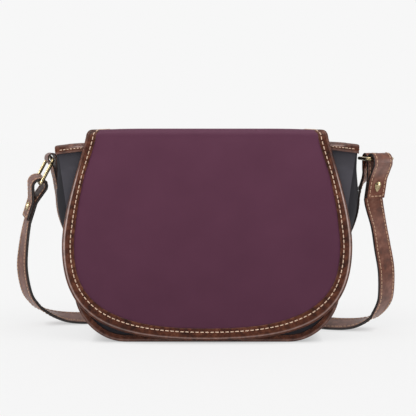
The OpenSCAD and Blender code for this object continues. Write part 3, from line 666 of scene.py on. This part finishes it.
for name, side in (("front_panel", -1), ("back_panel", 1)):
    shell = panel(1.2, PANEL_TOP, side * PANEL_OUTER, side * PANEL_INNER, lift=-0.4)
    x, z = shell[0][:, 0], shell[0][:, 2]
    # painted shade: darker in the hollow above the fold, and low on the front, in the flap's shadow
    dark = 0.3 * np.clip(above_fold(x, z) / 2, 0, 1)
    if side < 0:
        dark = np.maximum(dark, 0.75 * np.clip((64 - z) / 34, 0, 1))
    build(name + "_cloth", shell, ["charcoal"], "bag", wear_and_painted_light=dark, replaces=(name,), arch=True)


def strip(inset_mid, inset_edge, half, thick, top, bulge=1.0):
    """The long strip down one side, under the base and up the other."""
    path, inward = whole_outline(top, 34, 3.0)
    y = np.linspace(-half, half, 33)
    y = np.sign(y) * half * (np.abs(y) / half) ** 0.9
    middle = np.clip((35.6 - np.abs(y)) / 1.2, 0, 1)
    press_rows = (path[:, 0] < 0) * np.interp(path[:, 1], *PRESS_BY_Z)
    press_columns = np.interp(y, *PRESS_BY_Y)

    def face(depth):
        off = (inset_edge + (inset_mid - inset_edge) * middle)[None, :] + depth
        X = path[:, 0][:, None] + inward[:, 0][:, None] * off
        Z = np.maximum(path[:, 1][:, None] + inward[:, 1][:, None] * off, 0)
        out = np.sign(path[:, 0]) * gusset_swell(path[:, 1])
        X = X + bulge * (out[:, None] * swell(y)[None] + press_rows[:, None] * press_columns[None])
        Z[0] = top
        Z[-1] = top
        return np.stack([X, np.repeat(y[None], len(path), 0), Z], -1)

    return slab(face(0), face(thick))


build("gusset_cloth", strip(0.05, 1.25, 37.8, 1.9, PANEL_TOP), ["gusset"], "bag",
      replaces=("gusset",), arch=True)

# the lining, an open cloth bag of three sheets
lining_sheets = [panel(LINING_INSET, LINING_TOP, side * LINING_OUTER, side * LINING_INNER) for side in (-1, 1)]
lining_sheets.append(strip(LINING_INSET, LINING_INSET, 36.4, 0.5, LINING_TOP, bulge=0.0))
build("lining_bag", joined(lining_sheets), ["lining"], "bag", replaces=("lining",), arch=True)

# rim bands, leather folded over the front and back rims: rows of (depth, height), and the wear of each
band_profile = np.array([
    (-40.15, 186.0), (-40.85, 186.05), (-41.25, 186.5), (-41.35, 187.6), (-41.35, 189.0), (-41.15, 189.8),
    (-41.35, 190.6), (-41.4, 192.4), (-41.1, 193.7), (-40.3, 194.7), (-39.2, 195.15), (-38.2, 195.2),
    (-37.1, 195.1), (-36.0, 194.6), (-35.3, 193.6), (-35.1, 192.2), (-35.1, 187.0), (-35.35, 186.2),
    (-36.0, 186.0), (-36.25, 186.6), (-36.25, 193.0), (-36.8, 193.9), (-39.6, 193.9), (-40.1, 193.2)])
band_wear = [0, 0, 0.25, 0.15, 0, 0, 0, 0.05, 0.1, 0.12, 0.05, 0.05, 0.1, 0.3, 0.2, 0.05] + [0] * 8
BAND_HIGHLIGHT_ROW = 7
BAND_SEAM = 189.9
BAND_ENDS = [145.4, 146.6, 147.3, 147.5]
BAND_ROUND = 2.1


def band_rise(x):
    """The bands are narrower away from their ends."""
    return 1.8 * np.clip((148 - np.abs(x)) / 26, 0, 1)


def band_seam(half, y, normal):
    """A row of stitches along a band."""
    path = np.array([(x, y, BAND_SEAM + 0.8 * band_rise(x)) for x in np.linspace(-half, half, 80)])
    return path, np.tile([0, normal, 0], (len(path), 1))


across = np.concatenate([np.negative(BAND_ENDS)[::-1], np.linspace(-143, 143, 73), BAND_ENDS])
for name, side in (("front_rim_band", -1), ("back_rim_band", 1)):
    rings = np.zeros((len(across), len(band_profile), 3))
    for i, x in enumerate(across):
        # the ends are rounded off at the top
        round_off = sqrt(max(0, 1 - (max(0, abs(x) - BAND_ENDS[0]) / BAND_ROUND) ** 2))
        ring = band_profile.copy()
        ring[:, 1] += band_rise(x) * np.clip((193 - ring[:, 1]) / 4, 0, 1)
        ring[:, 1] = np.minimum(ring[:, 1], 193.1 + BAND_ROUND * round_off)
        rings[i] = np.stack([np.full(len(ring), x), ring[:, 0] * -side, ring[:, 1]], -1)
    # a painted highlight: a pale streak above the stitches, out to where the flap starts
    wear_and_painted_light = np.tile(band_wear, (len(across), 1))
    wear_and_painted_light[:, BAND_HIGHLIGHT_ROW] += 0.9 * np.clip((136 - np.abs(across)) / 8, 0, 1)
    seams = [band_seam(145, 41.2 * side, side), band_seam(140, 35.1 * side, -side)]
    trim_piece(name, rings, wear_and_painted_light.ravel(), seams, BAND_STITCH, arch=True)

# leather folded over the gusset's top edge: rows of (distance out from the gusset, height)
trim_profile = np.array([
    (0.15, 186.0), (0.95, 186.05), (1.3, 186.5), (1.35, 189.2), (1.15, 189.9), (1.35, 190.6), (1.35, 192.6),
    (1.0, 194.0), (0.1, 194.9), (-1.0, 195.1), (-2.1, 194.9), (-3.0, 194.1), (-3.25, 192.8), (-3.25, 186.6),
    (-3.0, 186.05), (-2.2, 186.0), (-2.15, 193.4), (-1.6, 193.9), (-0.4, 193.9), (0.15, 193.4)])
trim_wear = [0, 0, 0.2, 0.1, 0, 0.05, 0.05, 0.25, 0.45, 0.3, 0.3, 0.3, 0.1] + [0] * 7
TRIM_SEAM = 4
for name, side in (("gusset_trim_left", -1), ("gusset_trim_right", 1)):
    heights = trim_profile[:, 1]
    rings = []
    for y in np.linspace(-34.6, 34.6, 41):
        # the ends go in a little under the rim bands
        drop = 1.1 * min(1, max(0, (abs(y) - 32.8) / 2.3))
        x = gusset_x(heights) - gusset_swell(heights) * (1 - swell(y)) - drop
        rings.append(np.stack([side * (x + trim_profile[:, 0]), np.full(len(heights), y), heights], -1))
    rings = np.array(rings)
    seams = [(rings[:, TRIM_SEAM], np.tile([side, 0, 0], (len(rings), 1)))]
    trim_piece(name, rings, np.tile(trim_wear, len(rings)), seams, TRIM_STITCH, arch=True)

# binding round the body's lower edge: rows of (distance in from the outline, depth)
bind_profile = np.array([
    (7.0, -40.15), (7.0, -40.75), (6.7, -41.1), (6.2, -41.15), (5.8, -41.05), (5.4, -40.9), (5.0, -41.05),
    (4.4, -41.15), (3.6, -41.1), (2.9, -41.3), (2.1, -41.6), (1.3, -41.5), (0.55, -41.0), (0.12, -40.1),
    (0.0, -38.8), (0.0, -36.3), (0.15, -35.3), (0.55, -34.95), (1.0, -35.2), (1.1, -36.2), (1.1, -39.4),
    (1.7, -40.1)])
# pale by point: a painted highlight along the bead, and light rubbing at the edges
bind_wear_and_highlight = [0, 0, 0.1, 0, 0, 0, 0, 0, 0, 0.1, 0.32, 0.1, 0, 0, 0, 0, 0.1, 0.1, 0, 0, 0, 0]
BIND_SEAM = 5
for name, side in (("front_binding", -1), ("back_binding", 1)):
    path, inward = whole_outline(BINDING_TOP, 40, 2.5)
    rings = np.zeros((len(path), len(bind_profile), 3))
    rings[:, :, 0] = path[:, 0][:, None] + inward[:, 0][:, None] * bind_profile[:, 0][None]
    rings[:, :, 1] = bind_profile[:, 1][None] * -side
    rings[:, :, 2] = np.maximum(path[:, 1][:, None] + inward[:, 1][:, None] * bind_profile[:, 0][None], 0)
    seams = [(rings[:, BIND_SEAM], np.tile([0, side, 0], (len(rings), 1)))]
    trim_piece(name, rings, np.tile(bind_wear_and_highlight, len(rings)), seams, BIND_STITCH, key="thread_painted_shade")

# the flap is one sheet. A place on it is x across, s along it from the front crease down, and d below its face
CREASE_R = 8.0
CROWN_HALF = 39.0
CROWN_Z = 202.0
QUARTER = pi / 2 * CREASE_R
S_MID = -QUARTER - CROWN_HALF
S_BACK = -2 * QUARTER - 2 * CROWN_HALF
FLAP_TOP_HALF = 117.0
FLAP_HALF = 141.5
FLAP_LOW = 2.2
FLAP_WIDE_Z = 94.0
FLAP_TOP_Z = 210.0
CREASE_IN = 5.5
BACK_HALF = 109.0
ROOT_LOW = 154.0
ROOT_R = 22.4
CROWN_MID_HALF = (FLAP_TOP_HALF - CREASE_IN + BACK_HALF) * 0.5
flap_upper = np.array([
    [FLAP_TOP_HALF, CROWN_Z],
    [FLAP_TOP_HALF + (FLAP_HALF - FLAP_TOP_HALF) * 0.25, FLAP_WIDE_Z + (FLAP_TOP_Z - FLAP_WIDE_Z) * 0.69],
    [FLAP_HALF, FLAP_WIDE_Z + (FLAP_TOP_Z - FLAP_WIDE_Z) * 0.3],
    [FLAP_HALF, FLAP_WIDE_Z]])
flap_lower = np.array([
    [FLAP_HALF, FLAP_WIDE_Z],
    [FLAP_HALF, FLAP_LOW + (FLAP_WIDE_Z - FLAP_LOW) * 0.205],
    [FLAP_HALF * 0.66, FLAP_LOW],
    [0, FLAP_LOW]])
# the front cloth's dome, and the crown's swell between the bindings and dip along them
FLAP_DOME = 4.4
FLAP_RUN = 199.0
CROWN_SWELL = 1.1
CROWN_DIP = 0.45


def flap_bulge(x, s):
    down = np.sin(pi * np.clip(s / FLAP_RUN, 0, 1) ** 0.72)
    over = np.clip(1 - (np.abs(x) / 150) ** 2.4, 0, 1) ** 0.7
    on_crown = np.clip(1 - ((s - S_MID) / (CROWN_HALF + QUARTER)) ** 6, 0, 1)
    between = np.clip(1 - (np.abs(x) / 104) ** 8, 0, 1)
    return FLAP_DOME * down * over + on_crown * (CROWN_SWELL * between - CROWN_DIP)


def on_flap(x, s, d):
    """Point of the folded flap."""
    x, s, d = np.broadcast_arrays(np.asarray(x, float), np.asarray(s, float), np.asarray(d, float))
    front_turn = np.clip(-s / CREASE_R, 0, pi / 2)
    back_turn = np.clip((-s - QUARTER - 2 * CROWN_HALF) / CREASE_R, 0, pi / 2)
    turn = front_turn + back_turn
    over = np.clip(-s - QUARTER, 0, 2 * CROWN_HALF)
    down_front = np.maximum(s, 0)
    down_back = np.maximum(S_BACK - s, 0)
    y = -CROWN_HALF - CREASE_R * np.cos(front_turn) + over + CREASE_R * np.sin(back_turn)
    z = CROWN_Z + CREASE_R * np.sin(front_turn) - CREASE_R * (1 - np.cos(back_turn)) - down_front - down_back
    out = flap_bulge(x, s) - d
    return np.stack([x, y - np.cos(turn) * out, z + np.sin(turn) * out], -1)


def edge_path(half, inward_sign):
    """Both halves of an edge given as (x, s), and its inward directions."""
    path = both_halves(resample(np.array(half), 2.0))
    along = unit(np.gradient(path, axis=0))
    return path, np.stack([-along[:, 1], along[:, 0]], -1) * inward_sign


def front_edge():
    """From the crown's middle forwards, down the front crease and round the flap."""
    crease = FLAP_TOP_HALF - CREASE_IN
    widen = (BACK_HALF - crease) * 0.5
    half = [(crease + widen * k, -QUARTER - CROWN_HALF * k) for k in (1.0, 0.8, 0.6, 0.4, 0.2)]
    half += [(FLAP_TOP_HALF - CREASE_IN * k * k, -QUARTER * k) for k in np.linspace(1, 0.1, 8)]
    half += [(x, CROWN_Z - z) for x, z in bezier(flap_upper, np.linspace(0, 1, 40))]
    half += [(x, CROWN_Z - z) for x, z in bezier(flap_lower, np.linspace(0, 1, 60))[1:]]
    return edge_path(half, 1)


def back_edge():
    """From the crown's middle backwards, down the back crease and round the root."""
    end = S_BACK - (CROWN_Z - ROOT_LOW)
    corner = BACK_HALF - ROOT_R
    half = [(CROWN_MID_HALF + (BACK_HALF - CROWN_MID_HALF) * k, S_MID - CROWN_HALF * k)
            for k in np.linspace(0, 1, 6)]
    half += [(BACK_HALF, S_BACK + QUARTER - QUARTER * k) for k in np.linspace(0.1, 1, 7)]
    half += [(BACK_HALF, s) for s in np.linspace(S_BACK - 3, end + ROOT_R, 8)]
    half += [(corner + ROOT_R * cos(a), end + ROOT_R - ROOT_R * sin(a)) for a in np.linspace(0.1, pi / 2, 10)]
    half += [(corner - corner * k, end) for k in np.linspace(0.1, 1, 12)]
    return edge_path(half, -1)


# binding folded round the flap's edge: rows of (distance in from the edge, depth below the outer face)
edge_profile = np.array([
    (12.0, 1.2), (11.95, 0.6), (11.6, 0.22), (11.0, 0.08), (9.6, 0.02), (9.0, 0.14), (8.5, 0.3), (8.0, 0.14),
    (7.4, 0.02), (6.2, 0.0), (5.2, 0.08), (4.5, 0.3), (4.0, 0.26), (3.5, 0.0), (3.0, -0.32), (2.4, -0.42),
    (1.8, -0.2), (1.2, 0.25), (0.6, 0.9), (0.2, 1.7), (0.0, 2.7), (0.2, 3.7), (0.8, 4.6), (1.8, 5.15),
    (3.0, 5.25), (10.8, 5.25), (11.6, 5.1), (12.0, 4.5)])
EDGE_RIDGE = slice(13, 17)
EDGE_OUTER = slice(1, 18)
EDGE_SEAM = 8.5
# a painted highlight: the pale line along the raised ridge
edge_highlight = np.zeros(len(edge_profile))
edge_highlight[EDGE_RIDGE] = [0.1, 1.0, 1.2, 0.1]


def edge_binding(name, edge, blend, replaces, narrow, ridge_and_highlight):
    """The two shares at each point of the edge: first of the width, and then of the raised edge's height and
    of the painted highlight along it.
    """
    path, inward = edge
    reach = narrow[:, None] * edge_profile[:, 0][None]
    depth = np.repeat(edge_profile[:, 1][None], len(path), 0)
    depth[:, EDGE_RIDGE] *= np.clip(ridge_and_highlight, 0.35, 1)[:, None]
    # over the top the binding lies level with the cloth
    sink = 0.95 * np.clip((4 - path[:, 1]) / 10, 0, 1)
    depth[:, EDGE_OUTER] += sink[:, None]
    rings = on_flap(path[:, 0][:, None] + inward[:, 0][:, None] * reach,
                    path[:, 1][:, None] + inward[:, 1][:, None] * reach, depth)
    wear_and_painted_light = (edge_highlight[None] * ridge_and_highlight[:, None]).ravel()
    build(name, tube(rings), ["trim"], None, wear_and_painted_light=wear_and_painted_light, replaces=replaces, blend=blend)
    x = path[:, 0] + inward[:, 0] * EDGE_SEAM * narrow
    s = path[:, 1] + inward[:, 1] * EDGE_SEAM * narrow
    normals = unit(on_flap(x, s, 0.0) - on_flap(x, s, 1.0))
    rows = [(on_flap(x, s, 0.22 + sink), normals), (on_flap(x, s, 5.2), -normals)]
    stitches(name + "_stitches", rows, FLAP_STITCH, "thread", None, blend=blend)


FRONT = ("crown", "flap", (0, -0.039, 0.210), (0, -0.047, 0.202))
BACK = ("bag", "crown", (0, 0.047, 0.202), (0, 0.039, 0.210))
front_path, front_inward = front_edge()
back_path, back_inward = back_edge()
down = front_path[:, 1]
# the raised ridge and its painted highlight are low near the top and fade towards the bottom
edge_binding("flap_binding_leather", (front_path, front_inward), FRONT,
             ("flap_binding", "crown_binding_left", "crown_binding_right"),
             np.interp(down, [-QUARTER, 0, 34, 60, 85, 140, 172, 188, 200],
                       [0.8, 0.82, 0.72, 0.86, 1, 1.03, 1.16, 1.14, 1.02]),
             np.interp(down, [24, 42, 130, 175], [0.1, 1, 0.9, 0.35]))
edge_binding("root_binding_leather", (back_path, back_inward), BACK, ("root_binding",),
             np.full(len(back_path), 0.8), np.full(len(back_path), 0.2))

# the flap's sheets end this far in from its edge, under the bindings
SHEET_IN = 6.5
front_inner = (front_path + front_inward * SHEET_IN)[:len(front_path) // 2 + 1]
back_inner = (back_path + back_inward * SHEET_IN)[:len(back_path) // 2 + 1][::-1]
front_rows = np.concatenate([
    np.linspace(S_MID, -QUARTER, 10)[:-1],
    np.linspace(-QUARTER, 0, 11)[:-1],
    np.linspace(0, 130, 34)[:-1],
    130 + (front_inner[-1, 1] - 130) * np.sin(np.linspace(0, 1, 34) * pi / 2)])
back_rows = np.concatenate([
    np.linspace(back_inner[0, 1], S_BACK, 18)[:-1],
    np.linspace(S_BACK, S_BACK + QUARTER, 11)[:-1],
    np.linspace(S_BACK + QUARTER, S_MID, 12)])


# material, slot, and the depths of its two faces
CLOTH_LAYER = ("plum", "flap_cloth", 1.2, 3.1)
LINING_LAYER = ("lining", "lining_cloth", 3.25, 4.15)


def flap_sheet(name, lining, front, replaces):
    """Cloth or lining of the front or back stretch of the flap."""
    rows, inner, blend = (front_rows, front_inner, FRONT) if front else (back_rows, back_inner, BACK)
    key, slot, d_outer, d_inner = LINING_LAYER if lining else CLOTH_LAYER
    half = np.interp(rows, inner[:, 1], inner[:, 0])
    X = half[:, None] * np.linspace(-1, 1, 61)[None]
    S = np.repeat(rows[:, None], 61, 1)
    shell = slab(on_flap(X, S, d_outer), on_flap(X, S, d_inner))
    # painted shade: the cloth is darker towards the flap's lower edge, for light that falls from above
    painted_shade = 0.25 * np.clip(np.concatenate([S, S]).ravel() / 190, 0, 1)
    build(name, shell, [key], None, wear_and_painted_light=painted_shade, replaces=replaces, blend=blend)


flap_sheet("flap_cloth", False, True, ("flap_panel", "crown_panel"))
flap_sheet("flap_lining_cloth", True, True, ("flap_lining", "crown_lining"))
flap_sheet("root_cloth", False, False, ("root_panel",))
flap_sheet("root_lining_cloth", True, False, ("root_lining",))

# the tabs. Each is folded round its ring's bar: the loop is turned by turn degrees and pulled off the gusset
# by pull, and the lower end is turned by low_turn and pressed into the cloth by press
TAB_W = 15.0
TAB_T = 1.5
TAB_Z = 180.0
TAB_LOW = 96.0
TAB_LOOP_R = 3.7
LEFT_TAB = {"turn": 22, "pull": 0.0, "low_turn": 22, "press": 4.6}
RIGHT_TAB = {"turn": 69, "pull": 6.2, "low_turn": 0, "press": 0}
FOLD_Z = TAB_Z - 2.2 * TAB_LOOP_R
IN_LOW = TAB_Z - (TAB_Z - TAB_LOW) * 0.4
UP = np.array([0, 0, 1])


def smooth(k):
    k = min(1, max(0, k))
    return k * k * (3 - 2 * k)


def tab_share(z):
    """0 along the lower end, and 1 at the loop."""
    return smooth((z - IN_LOW) / (FOLD_Z - IN_LOW))


def tab_turn(z, tab):
    return tab["low_turn"] + (tab["turn"] - tab["low_turn"]) * tab_share(z)


def turned(degrees):
    """Level direction away from the gusset, turned towards the front."""
    return np.array([cos(radians(degrees)), -sin(radians(degrees)), 0])


def tab_base(z, tab):
    """Middle of the tab's back, on the gusset."""
    share = tab_share(z)
    off = TAB_W / 2 * sin(radians(tab_turn(z, tab))) + tab["pull"] * share - tab["press"] * (1 - share)
    return np.array([float(gusset_x(z)) + 0.1 + off, 0, z])


def tab_centre(tab):
    """Middle of the loop, where the ring's bar runs."""
    return tab_base(TAB_Z, tab) + turned(tab["turn"]) * (TAB_LOOP_R + TAB_T)


def tab_knots(tab):
    """Points along the middle of the leather, and its turn at each."""
    def off_gusset(z, k):
        return tab_base(z, tab) + turned(tab_turn(z, tab)) * k, tab_turn(z, tab)

    far = 1.5 * TAB_T + 0.1
    knots = []
    # the outer ply from its lower end up, and out over the inner ply
    for s in (0, 0.12, 0.24, 0.36, 0.48, 0.6):
        z = TAB_LOW + (TAB_Z - TAB_LOW) * s * 0.9
        knots.append(off_gusset(z, TAB_T / 2 + (far - TAB_T / 2) * smooth((z - IN_LOW + 4) / 5)))
    for s in (0, 0.3, 0.6, 1):
        z = IN_LOW + (FOLD_Z - IN_LOW) * (0.28 + 0.72 * s)
        knots.append(off_gusset(z, far + 2 * TAB_LOOP_R * 0.28 * smooth((s - 0.35) / 0.65)))
    # over the ring's bar
    for i in range(13):
        a = radians(-25 + 205 * i / 12)
        around = turned(tab["turn"]) * cos(a) + UP * sin(a)
        knots.append((tab_centre(tab) + around * (TAB_LOOP_R + TAB_T / 2), tab["turn"]))
    # and down again against the gusset
    for s in (0.82, 0.6, 0.4, 0.2, 0.04):
        knots.append(off_gusset(IN_LOW + (TAB_Z - IN_LOW) * s, TAB_T / 2))
    return knots


def strip_profile(width, thick):
    """Flat section with painted edges, and the side of each piece of it: 0 face, 1 edge, 2 seam."""
    h, e = thick / 2, width / 2
    r = min(0.5, h * 0.5)
    half_face = [(-e + r * 0.35, h - r * 0.35), (-e + r, h), (-e + 1.7, h), (-e + 2.5, h - 0.1),
                 (-e + 3.3, h - 0.01)]
    face = half_face + [(0, h)] + [(-x, y) for x, y in half_face[::-1]]
    edge = [(e, h - r), (e, h * 0.16), (e - 0.12, 0), (e, -h * 0.16), (e, -h + r)]
    half = face + edge
    sides = [0] * 10 + [1, 1, 2, 2, 1, 1]
    return np.array(half + [(-x, -y) for x, y in half]), sides * 2


def strap_rings(centres, wide, width, thick):
    """Rings of flat leather along its centres, with their sides, width directions and normals."""
    along = unit(np.gradient(centres, axis=0))
    wide = unit(wide - (wide * along).sum(1)[:, None] * along)
    normals = np.cross(along, wide)
    profile, sides = strip_profile(width, thick)
    aside = wide[:, None] * profile[None, :, 0, None]
    out = normals[:, None] * profile[None, :, 1, None]
    return centres[:, None] + aside + out, sides, wide, normals


LEATHER_SIDES = ["strap", "edge", "edge_line"]
SEAM_IN = 2.5
for name, side, tab in (("tab_left", -1, LEFT_TAB), ("tab_right", 1, RIGHT_TAB)):
    knots = tab_knots(tab)
    turns = [turn for _, turn in knots]
    centres = spline([point for point, _ in knots], 4)
    wide = spline([[sin(radians(turn)), cos(radians(turn)), 0] for turn in turns], 4)
    rings, sides, wide, _ = strap_rings(centres, wide, TAB_W, TAB_T)
    rings[:, :, 0] *= side
    build(name + "_leather", tube(rings, sides, 1), LEATHER_SIDES, "bag", replaces=(name,))
    # the outer ply is stitched along both edges, up to the loop
    stitched = slice(1, 38)
    out = np.array([turned(turn) for turn in spline([[turn] for turn in turns], 4)[stitched, 0]])
    rows = []
    for edge in (-1, 1):
        path = (centres + wide * edge * (TAB_W / 2 - SEAM_IN))[stitched] + out * (TAB_T / 2 - 0.05)
        rows.append((path * [side, 1, 1], out * [side, 1, 1]))
    stitches(name + "_stitches", rows, TAB_STITCH, "thread_dim", "bag")


# the strap. It ends on the rings' outer bars, REACH away from the bars in the tabs' loops
def square_to(direction, other):
    """The direction, made square to another."""
    return unit(direction - direction.dot(other) * other)


WIRE = 3.5
REACH = 27.0
STRAP_W = 20.0
STRAP_T = 3.0
way_right = turned(80)
left_fall = radians(61.5)
left_bar_line = unit(np.array([-0.30, 0.935, 0.17]))
way_left = square_to(np.array([-cos(left_fall), 0, -sin(left_fall)]), left_bar_line)
bar_right = tab_centre(RIGHT_TAB) + way_right * REACH
bar_left = tab_centre(LEFT_TAB) * [-1, 1, 1] + way_left * REACH
up_right = unit(np.array([0.085, -0.27, 0.96]))
up_left = unit(np.array([0.32, -0.10, 0.94]))
wide_right = square_to(np.array([sin(radians(69)), cos(radians(69)), 0.05]), up_right)
wide_left = square_to(np.array([-0.37, 0.90, 0.20]), up_left)
out_right = np.cross(-up_right, wide_right)
out_left = np.cross(up_left, wide_left)

# an end's loop round a bar: its plies close up below it, and run on to the tail
END_LOOP_R = 5.5
OPENING = radians(18)
TAIL = 40.0
loop_mid = END_LOOP_R + STRAP_T / 2
loop_drop = END_LOOP_R - WIRE / 2 - 0.9
ply_off = STRAP_T / 2 + 0.05
join_drop = loop_drop + loop_mid * sin(OPENING) + (loop_mid * cos(OPENING) - ply_off) / tan(OPENING)


def end_plane():
    """The middle of the leather at an end: (out, up) from the bar."""
    def ply(drop):
        return ply_off + max(0, join_drop - drop) * tan(OPENING) * 0.7

    half_tail = (TAIL + join_drop) / 2
    points = [(ply(drop), -drop) for drop in (TAIL, half_tail, join_drop + 2, join_drop - 2)]
    for i in range(17):
        a = -OPENING + (pi + 2 * OPENING) * i / 16
        points.append((loop_mid * cos(a), -loop_drop + loop_mid * sin(a)))
    points += [(-ply(drop), -drop) for drop in (join_drop - 2, join_drop + 2, half_tail, TAIL + 2)]
    return points


# the strap's way behind the bag: place as shares of these sizes, and its width direction
ROUTE_X = 190.0
ROUTE_Y = 80.0
route = [
    (0.907, -0.1125, 0.628, (0.80, 0.60, 0.05)), (0.937, -0.02, 0.485, (0.85, 0.53, 0.03)),
    (0.966, 0.075, 0.342, (0.86, 0.50, 0.05)), (0.974, 0.17, 0.197, (0.84, 0.54, 0.05)),
    (0.962, 0.213, 0.128, (0.80, 0.60, 0.04)), (0.926, 0.256, 0.064, (0.68, 0.73, 0.06)),
    (0.884, 0.272, 0.033, (0.56, 0.82, 0.13)), (0.822, 0.288, 0.010, (0.38, 0.89, 0.25)),
    (0.757, 0.300, 0.001, (0.15, 0.93, 0.34)), (0.690, 0.335, 0, (0.12, 0.92, 0.37)),
    (0.640, 0.400, 0, (0.45, 0.81, 0.37)), (0.580, 0.545, 0, (0.60, 0.70, 0.37)),
    (0.480, 0.720, 0, (0.45, 0.81, 0.37)), (0.260, 0.925, 0, (0.25, 0.90, 0.37)), (0, 1, 0, (0, 0.93, 0.37)),
    (-0.250, 0.945, 0, (-0.12, 0.92, 0.37)), (-0.450, 0.835, 0, (-0.14, 0.92, 0.37)),
    (-0.628, 0.755, 0, (-0.06, 0.93, 0.37)), (-0.710, 0.729, 0, (0, 0.93, 0.36)),
    (-0.800, 0.716, 0.008, (-0.22, 0.93, 0.30)), (-0.880, 0.678, 0.033, (-0.42, 0.89, 0.15)),
    (-0.938, 0.625, 0.068, (-0.55, 0.83, 0.06)), (-0.971, 0.574, 0.106, (-0.60, 0.80, 0.06)),
    (-1.004, 0.481, 0.181, (-0.62, 0.78, 0.06)), (-1.016, 0.335, 0.330, (-0.60, 0.80, 0.05)),
    (-0.998, 0.215, 0.479, (-0.50, 0.86, 0.07))]
# where it lies, it is tilted by this much
LYING_TILT = radians(22)
LYING_Z = STRAP_T / 2 * cos(LYING_TILT) + STRAP_W / 2 * sin(LYING_TILT) + 0.1

plane = end_plane()
ends = len(plane)
knots = [bar_right + out_right * a + up_right * b for a, b in plane]
knots += [np.array([x * ROUTE_X, y * ROUTE_Y, LYING_Z + z * (TAB_Z - LYING_Z)]) for x, y, z, _ in route]
knots += [bar_left + out_left * a + up_left * b for a, b in plane[::-1]]
wides = [wide_right] * ends + [np.array(step[3]) for step in route] + [wide_left] * ends


def strap_curve(points):
    """The folded ends take fewer samples a stretch than the long hang."""
    hang = slice((ends - 1) * 6, -(ends - 1) * 6 - 1)
    return np.concatenate([spline(points[:ends], 2)[:-1], spline(points, 6)[hang], spline(points[-ends:], 2)])


centres = strap_curve(knots)
rings, sides, wide, normals = strap_rings(centres, strap_curve(wides), STRAP_W, STRAP_T)
# painted sheen: paler where it lies on the ground, and a painted highlight over the tops of its loops
z = rings[:, :, 2].ravel()
painted_sheen = 0.36 * np.clip((66 - z) / 52, 0, 1) + 0.3 * np.exp(-((z - 170) / 9) ** 2)
build("strap_leather", tube(rings, sides, 1), LEATHER_SIDES, "strap", wear_and_painted_light=painted_sheen,
      replaces=("strap",))
rows = []
for edge in (-1, 1):
    for side in (-1, 1):
        path = centres + wide * edge * (STRAP_W / 2 - SEAM_IN) + normals * side * (STRAP_T / 2 - 0.1)
        rows.append((path, normals * side))
# a cross row near each cut end
for end, following in ((0, 1), (-1, -2)):
    along = unit(centres[following] - centres[end])
    for side in (-1, 1):
        middle = centres[end] + along * 2.2 + normals[end] * side * (STRAP_T / 2 - 0.02)
        path = np.array([middle + wide[end] * k for k in np.linspace(-6.4, 6.4, 12)])
        rows.append((path, np.tile(normals[end] * side, (12, 1))))
stitches("strap_stitches", rows, STRAP_STITCH, "thread_dim", "strap")

# the studs, drop-shaped domed heads: rows of (share of the outline, height) from the leather out
STUD_RINGS = [(1.0, 0.0), (1.0, 0.28), (0.97, 0.42), (0.86, 0.5), (0.80, 0.44), (0.74, 0.5), (0.66, 0.82),
              (0.5, 1.15), (0.3, 1.38), (0.12, 1.46)]
STUD_W = 6.8
STUD_L = 10.5
STUD_DROP = 26.0
STUD_HEIGHT = 1.4


def stud(name, bar, out, up, wide, node):
    turn = np.linspace(0, 2 * pi, 40, endpoint=False)
    upper = np.sin(turn) >= 0
    narrowing = np.where(upper, 1, 1 - 0.35 * np.abs(np.sin(turn)) ** 1.5)
    x = STUD_W / 2 * np.cos(turn) * narrowing
    y = np.where(upper, STUD_W / 2, STUD_L - STUD_W / 2) * np.sin(turn)
    flat = wide[None] * x[:, None] + up[None] * y[:, None]
    foot = bar - up * STUD_DROP + out * (ply_off + STRAP_T / 2)
    rings = [foot[None] + flat * share + out[None] * height * STUD_HEIGHT for share, height in STUD_RINGS]
    build(name, tube(np.array(rings)), ["brass"], "strap", replaces=(node,), sharp=40)


stud("stud_head_right", bar_right, out_right, up_right, wide_right, "stud_right")
stud("stud_head_left", bar_left, out_left, up_left, wide_left, "stud_left")

# the CAD's own pieces that stay
BRASS_NODES = ["ring_left", "ring_right", "stud_plate_left", "stud_plate_right", "snap_socket",
               "snap_socket_plate", "snap_stud"]
for node, key in [(node, "brass") for node in BRASS_NODES] + [("base_board", "board")]:
    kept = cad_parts[node].data.materials
    kept.clear()
    kept.append(MATERIALS[key])
